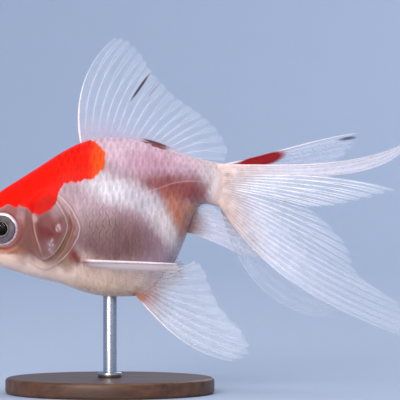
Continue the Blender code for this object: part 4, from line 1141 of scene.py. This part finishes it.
def makeEyeMaterials():
    # iris: silver guanine with a grey-brown ring, its edges a little uneven
    iris, tree, shader = newMaterial("silver iris")
    ring = addNode(tree, "Attribute", attribute_name="ring").outputs["Fac"]
    seat = addNode(tree, "Attribute", attribute_name="seat").outputs["Vector"]
    cloud = addNode(tree, "TexNoise", {"Vector": seat, "Scale": eyeShape["cloudScale"], "Detail": 4.0})
    stray = addNode(tree, "Math", {0: cloud, 1: eyeShape["wobble"], 2: -eyeShape["wobble"] / 2},
                    operation="MULTIPLY_ADD")
    moved = addNode(tree, "Math", {0: ring, 1: stray}, operation="ADD")
    height = addNode(tree, "SeparateXYZ", {0: seat}).outputs[2]
    code, strength = eyeShape["shaded"]
    level = headShape["eyePlace"][1]
    lower, above = (
        addNode(tree, "MapRange", {"Value": height, **limits(level + start, level + full, 0, most)},
                interpolation_type="SMOOTHSTEP")
        for (start, full), most in ((eyeShape["rimFrom"], -eyeShape["rimNarrows"]),
                                    (eyeShape["shadedFrom"], strength)))
    outer = addNode(tree, "MapRange", {"Value": ring, **limits(*eyeShape["rimOutside"])})
    moved = addNode(tree, "Math", {0: lower, 1: outer, 2: moved}, operation="MULTIPLY_ADD")
    ramp = addNode(tree, "ValToRGB", {"Fac": moved})
    fillRamp(ramp, [(place, linear(code)) for place, code in eyeShape["rings"]])
    # painted shade: the iris darkened towards its top
    within = addNode(tree, "MapRange", {"Value": moved, **limits(*eyeShape["shadedWithin"])})
    mask = addNode(tree, "Math", {0: above, 1: within}, operation="MULTIPLY")
    dusk = addNode(tree, "Mix", {0: mask, 6: ramp, 7: linear(code)}, data_type="RGBA")
    shade = addNode(tree, "MapRange", {"Value": cloud, **limits(*noiseSpan, *eyeShape["clouds"])})
    toned = addNode(tree, "VectorMath", {0: dusk, "Scale": shade}, operation="SCALE")
    fillInputs(tree, shader, {"Base Color": toned, "Metallic": 0.2, "Roughness": 0.32})
    # pupil: the black lens that stands out of the iris
    pupil, tree, shader = newMaterial("pupil lens")
    shade = addNode(tree, "TexNoise", {"Scale": 400.0})
    ramp = addNode(tree, "ValToRGB", {"Fac": shade})
    fillRamp(ramp, [(0.0, linear("#020203")), (1.0, linear("#060506"))])
    fillInputs(tree, shader, {"Base Color": ramp, "Roughness": 0.3, "Specular IOR Level": 0.08})
    # cornea: clear, seen only by what it reflects, more so where it turns away
    cornea, tree, shader = newMaterial("clear cornea")
    shine = addNode(tree, "Fresnel", {"IOR": 1.08})
    fillInputs(tree, shader, {"Base Color": linear("#ffffff"), "Alpha": shine, "Metallic": 1.0,
                              "Roughness": 0.04})
    return {"ball": iris, "pupil": pupil, "cornea": cornea}


standFinish = {
    "walnut": [(0.32, "#3a2417"), (0.7, "#6b4529")],  # dark and light, by the grain's own noise
    "grainScale": (40, 555, 400),  # grain lines for each m along, across and through the board
    "walnutRoughness": 0.42,
    "edge": 0.8,  # mm, the round of the base's edges
    "steel": "#b9bcc0", "steelRoughness": (0.2, 0.38),
    "ringScale": (100, 100, 9000),  # rings of the grinding for each m of rod
    # the collar: share of the rod's radius, and mm over the base
    "collar": [(1.0, -0.1), (1.75, -0.1), (1.75, 0.9), (1.7, 1.1), (1.6, 1.2), (1.0, 1.2)],
}


def turned(name, profile, halfSizes, centre, material, spokes=128):
    # a turned piece: profile is rows of (share of the outline's half sizes, inset, height)
    spin = np.arange(spokes) * 2 * math.pi / spokes
    rings = []
    for share, inset, height in profile:
        wide, deep = (max(share * s - inset, 0.001) for s in halfSizes)
        rings.append(np.stack([centre[0] + wide * np.cos(spin), centre[1] + deep * np.sin(spin),
                               height + 0 * spin], -1))
    cloud = np.array(rings).reshape(-1, 3)
    faces = [tuple(f)[::-1] for f in gridFaces(len(profile), spokes, wrap=True)]
    return makePiece(name, cloud, faces, material, {"seat": cloud})


def walnutMaterial():
    # oiled walnut: open-grained dark wood, sanded and oiled, so its grain shows under a soft shine
    material, tree, shader = newMaterial("oiled walnut")
    place = addNode(tree, "TexCoord").outputs["Object"]
    grainMap = addNode(tree, "Mapping", {"Vector": place, "Scale": standFinish["grainScale"]})
    grain = addNode(tree, "TexNoise", {"Vector": grainMap, "Scale": 1.0, "Detail": 6.0, "Roughness": 0.65})
    ramp = addNode(tree, "ValToRGB", {"Fac": grain})
    fillRamp(ramp, [(at, linear(code)) for at, code in standFinish["walnut"]])
    relief = addNode(tree, "Bump", {"Height": grain, "Strength": 0.2, "Distance": 0.0001})
    fillInputs(tree, shader, {"Base Color": ramp, "Normal": relief,
                              "Roughness": standFinish["walnutRoughness"]})
    return material


def steelMaterial():
    # steel rod, centreless-ground: fine rings round it spread its highlight
    material, tree, shader = newMaterial("ground steel rod")
    place = addNode(tree, "TexCoord").outputs["Object"]
    ringMap = addNode(tree, "Mapping", {"Vector": place, "Scale": standFinish["ringScale"]})
    rings = addNode(tree, "TexNoise", {"Vector": ringMap, "Scale": 1.0, "Detail": 3.0})
    gloss = addNode(tree, "MapRange", {"Value": rings, **limits(0, 1, *standFinish["steelRoughness"])})
    fillInputs(tree, shader, {"Base Color": linear(standFinish["steel"]), "Metallic": 1.0,
                              "Roughness": gloss})
    return material


def nodeBox(node):
    # a node's half sizes and middle across the floor, and its lowest and highest place, in mm
    low, high = (np.array(c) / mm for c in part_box(node))
    return (high - low)[:2] / 2, (high + low)[:2] / 2, low[2], high[2]


def buildStand():
    walnut, steel = walnutMaterial(), steelMaterial()
    half, middle, low, top = nodeBox("stand_base")
    edge = standFinish["edge"]
    profile = [(0.0, 0, 0.0), (0.98, edge, 0.0)]
    for a in np.linspace(0.2, 1.57, 6):
        profile.append((1.0, edge * (1 - math.sin(a)), edge * (1 - math.cos(a))))
    for a in np.linspace(0, 1.5, 7):
        profile.append((1.0, edge * (1 - math.cos(a)), top - edge * (1 - math.sin(a))))
    profile += [(0.98, edge, top), (0.0, 0, top)]
    base = turned("standBase", profile, half, middle, walnut)
    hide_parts("stand_base")
    radius, middle, low, high = nodeBox("stand_rod")
    profile = [(0.0, 0, low), (1.0, 0, low), (1.0, 0, low + 0.1), (1.0, 0, high - 0.1), (1.0, 0.05, high),
               (0.0, 0, high)]
    rod = turned("standRod", profile, radius, middle, steel, spokes=64)
    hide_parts("stand_rod")
    collar = [(share, 0, top + over) for share, over in standFinish["collar"]]
    turned("standCollar", collar, radius, middle, steel, spokes=64)
    print("stand built")


studio = {
    "paper": "#a7b7cf",  # pale blue-grey paper, so that clear fins show against it
    # the camera, in mm: where it points, how far off it is, and how wide a strip it sees there
    "aim": (19.8, 0.0, 42.5), "distance": 500.0, "across": 88.0,
    "lights": [  # name, place in m, size in m, watts, colour
        ("keyLight", (-0.6, -1.2, 1.2), 0.9, 11.5, "#fff6ec"),
        ("topLight", (0.1, -0.1, 1.6), 1.0, 9.5, "#fffaf6"),
        ("lowLight", (-0.4, -1.2, 0.35), 0.7, 13.5, "#fff2e8"),
        ("fillLight", (1.1, -1.1, 0.5), 1.0, 3.0, "#f6f4ff"),
        ("backLight", (0.5, 1.2, 0.9), 0.8, 5.0, "#ffffff"),
    ],
    "ambient": ("#dfe7f2", 0.3),
    # the paper's sweep in m: how far its floor runs, the radius of its bend, how high it rises
    "floor": 0.9, "bend": 0.7, "height": 2.2, "spokes": 96,
}


def addToScene(name, data, place=(0, 0, 0), turn=(0, 0, 0)):
    thing = bpy.data.objects.new(name, data)
    thing.location, thing.rotation_euler = place, turn
    bpy.context.scene.collection.objects.link(thing)
    return thing


def paperMaterial():
    # seamless backdrop paper, pressed and matt: no shine, only a faint fibre
    material, tree, shader = newMaterial("backdrop paper")
    place = addNode(tree, "TexCoord").outputs["Object"]
    fibre = addNode(tree, "TexNoise", {"Vector": place, "Scale": 900.0, "Detail": 3.0})
    relief = addNode(tree, "Bump", {"Height": fibre, "Strength": 0.05, "Distance": 0.0001})
    fillInputs(tree, shader, {"Normal": relief, "Base Color": linear(studio["paper"]), "Roughness": 0.9})
    return material


def buildStudio():
    # one bowl-shaped sweep of paper, the same from every side
    spokes, floor, bend = studio["spokes"], studio["floor"], studio["bend"]
    spin = np.arange(spokes) * 2 * math.pi / spokes
    profile = [(0.001, 0.0), (0.4, 0.0), (floor, 0.0)]
    profile += [(floor + bend * math.sin(a), bend * (1 - math.cos(a))) for a in np.linspace(0.15, 1.57, 12)]
    profile += [(floor + bend, studio["height"])]
    rings = [(r * math.cos(a), r * math.sin(a), z) for r, z in profile for a in spin]
    mesh = bpy.data.meshes.new("studioSweep")
    mesh.from_pydata(rings, [], gridFaces(len(profile), spokes, wrap=True)[:, ::-1].tolist())
    mesh.shade_smooth()
    mesh.materials.append(paperMaterial())
    sweep = addToScene("studioSweep", mesh)
    world = bpy.data.worlds.new("studioWorld")
    world.use_nodes = True
    colour, strength = studio["ambient"]
    sky = world.node_tree.nodes["Background"]
    fillInputs(world.node_tree, sky, {"Color": linear(colour), "Strength": strength})
    bpy.context.scene.world = world
    aim = np.array(studio["aim"]) * mm
    for name, place, size, watts, colour in studio["lights"]:
        data = bpy.data.lights.new(name, "AREA")
        data.size, data.energy, data.color = size, watts, linear(colour)[:3]
        x, y, z = np.array(place) - aim
        addToScene(name, data, place, (math.atan2(math.hypot(x, y), z), 0, math.atan2(x, -y)))
    lens = bpy.data.cameras.new("camera")
    lens.sensor_width = 36
    lens.lens = lens.sensor_width * studio["distance"] / studio["across"]
    camera = addToScene("camera", lens, (aim[0], -studio["distance"] * mm, aim[2]), (math.pi / 2, 0, 0))
    bpy.context.scene.camera = camera
    bpy.context.scene.view_settings.view_transform = "Standard"
    print("studio built")


buildStudio()
skinPiece = buildSkin(wetSkinMaterial())
print("skin built:", len(skinPiece.data.polygons), "faces")
flankTable = Flank()
pearl = pearlScaleMaterial()
buildScales(-1, flankTable, pearl, 11)
buildScales(1, flankTable, pearl, 12)
buildFins()
eyeMaterials = makeEyeMaterials()
buildEye(-1, eyeMaterials)
buildEye(1, eyeMaterials)
print("eyes built")
buildStand()
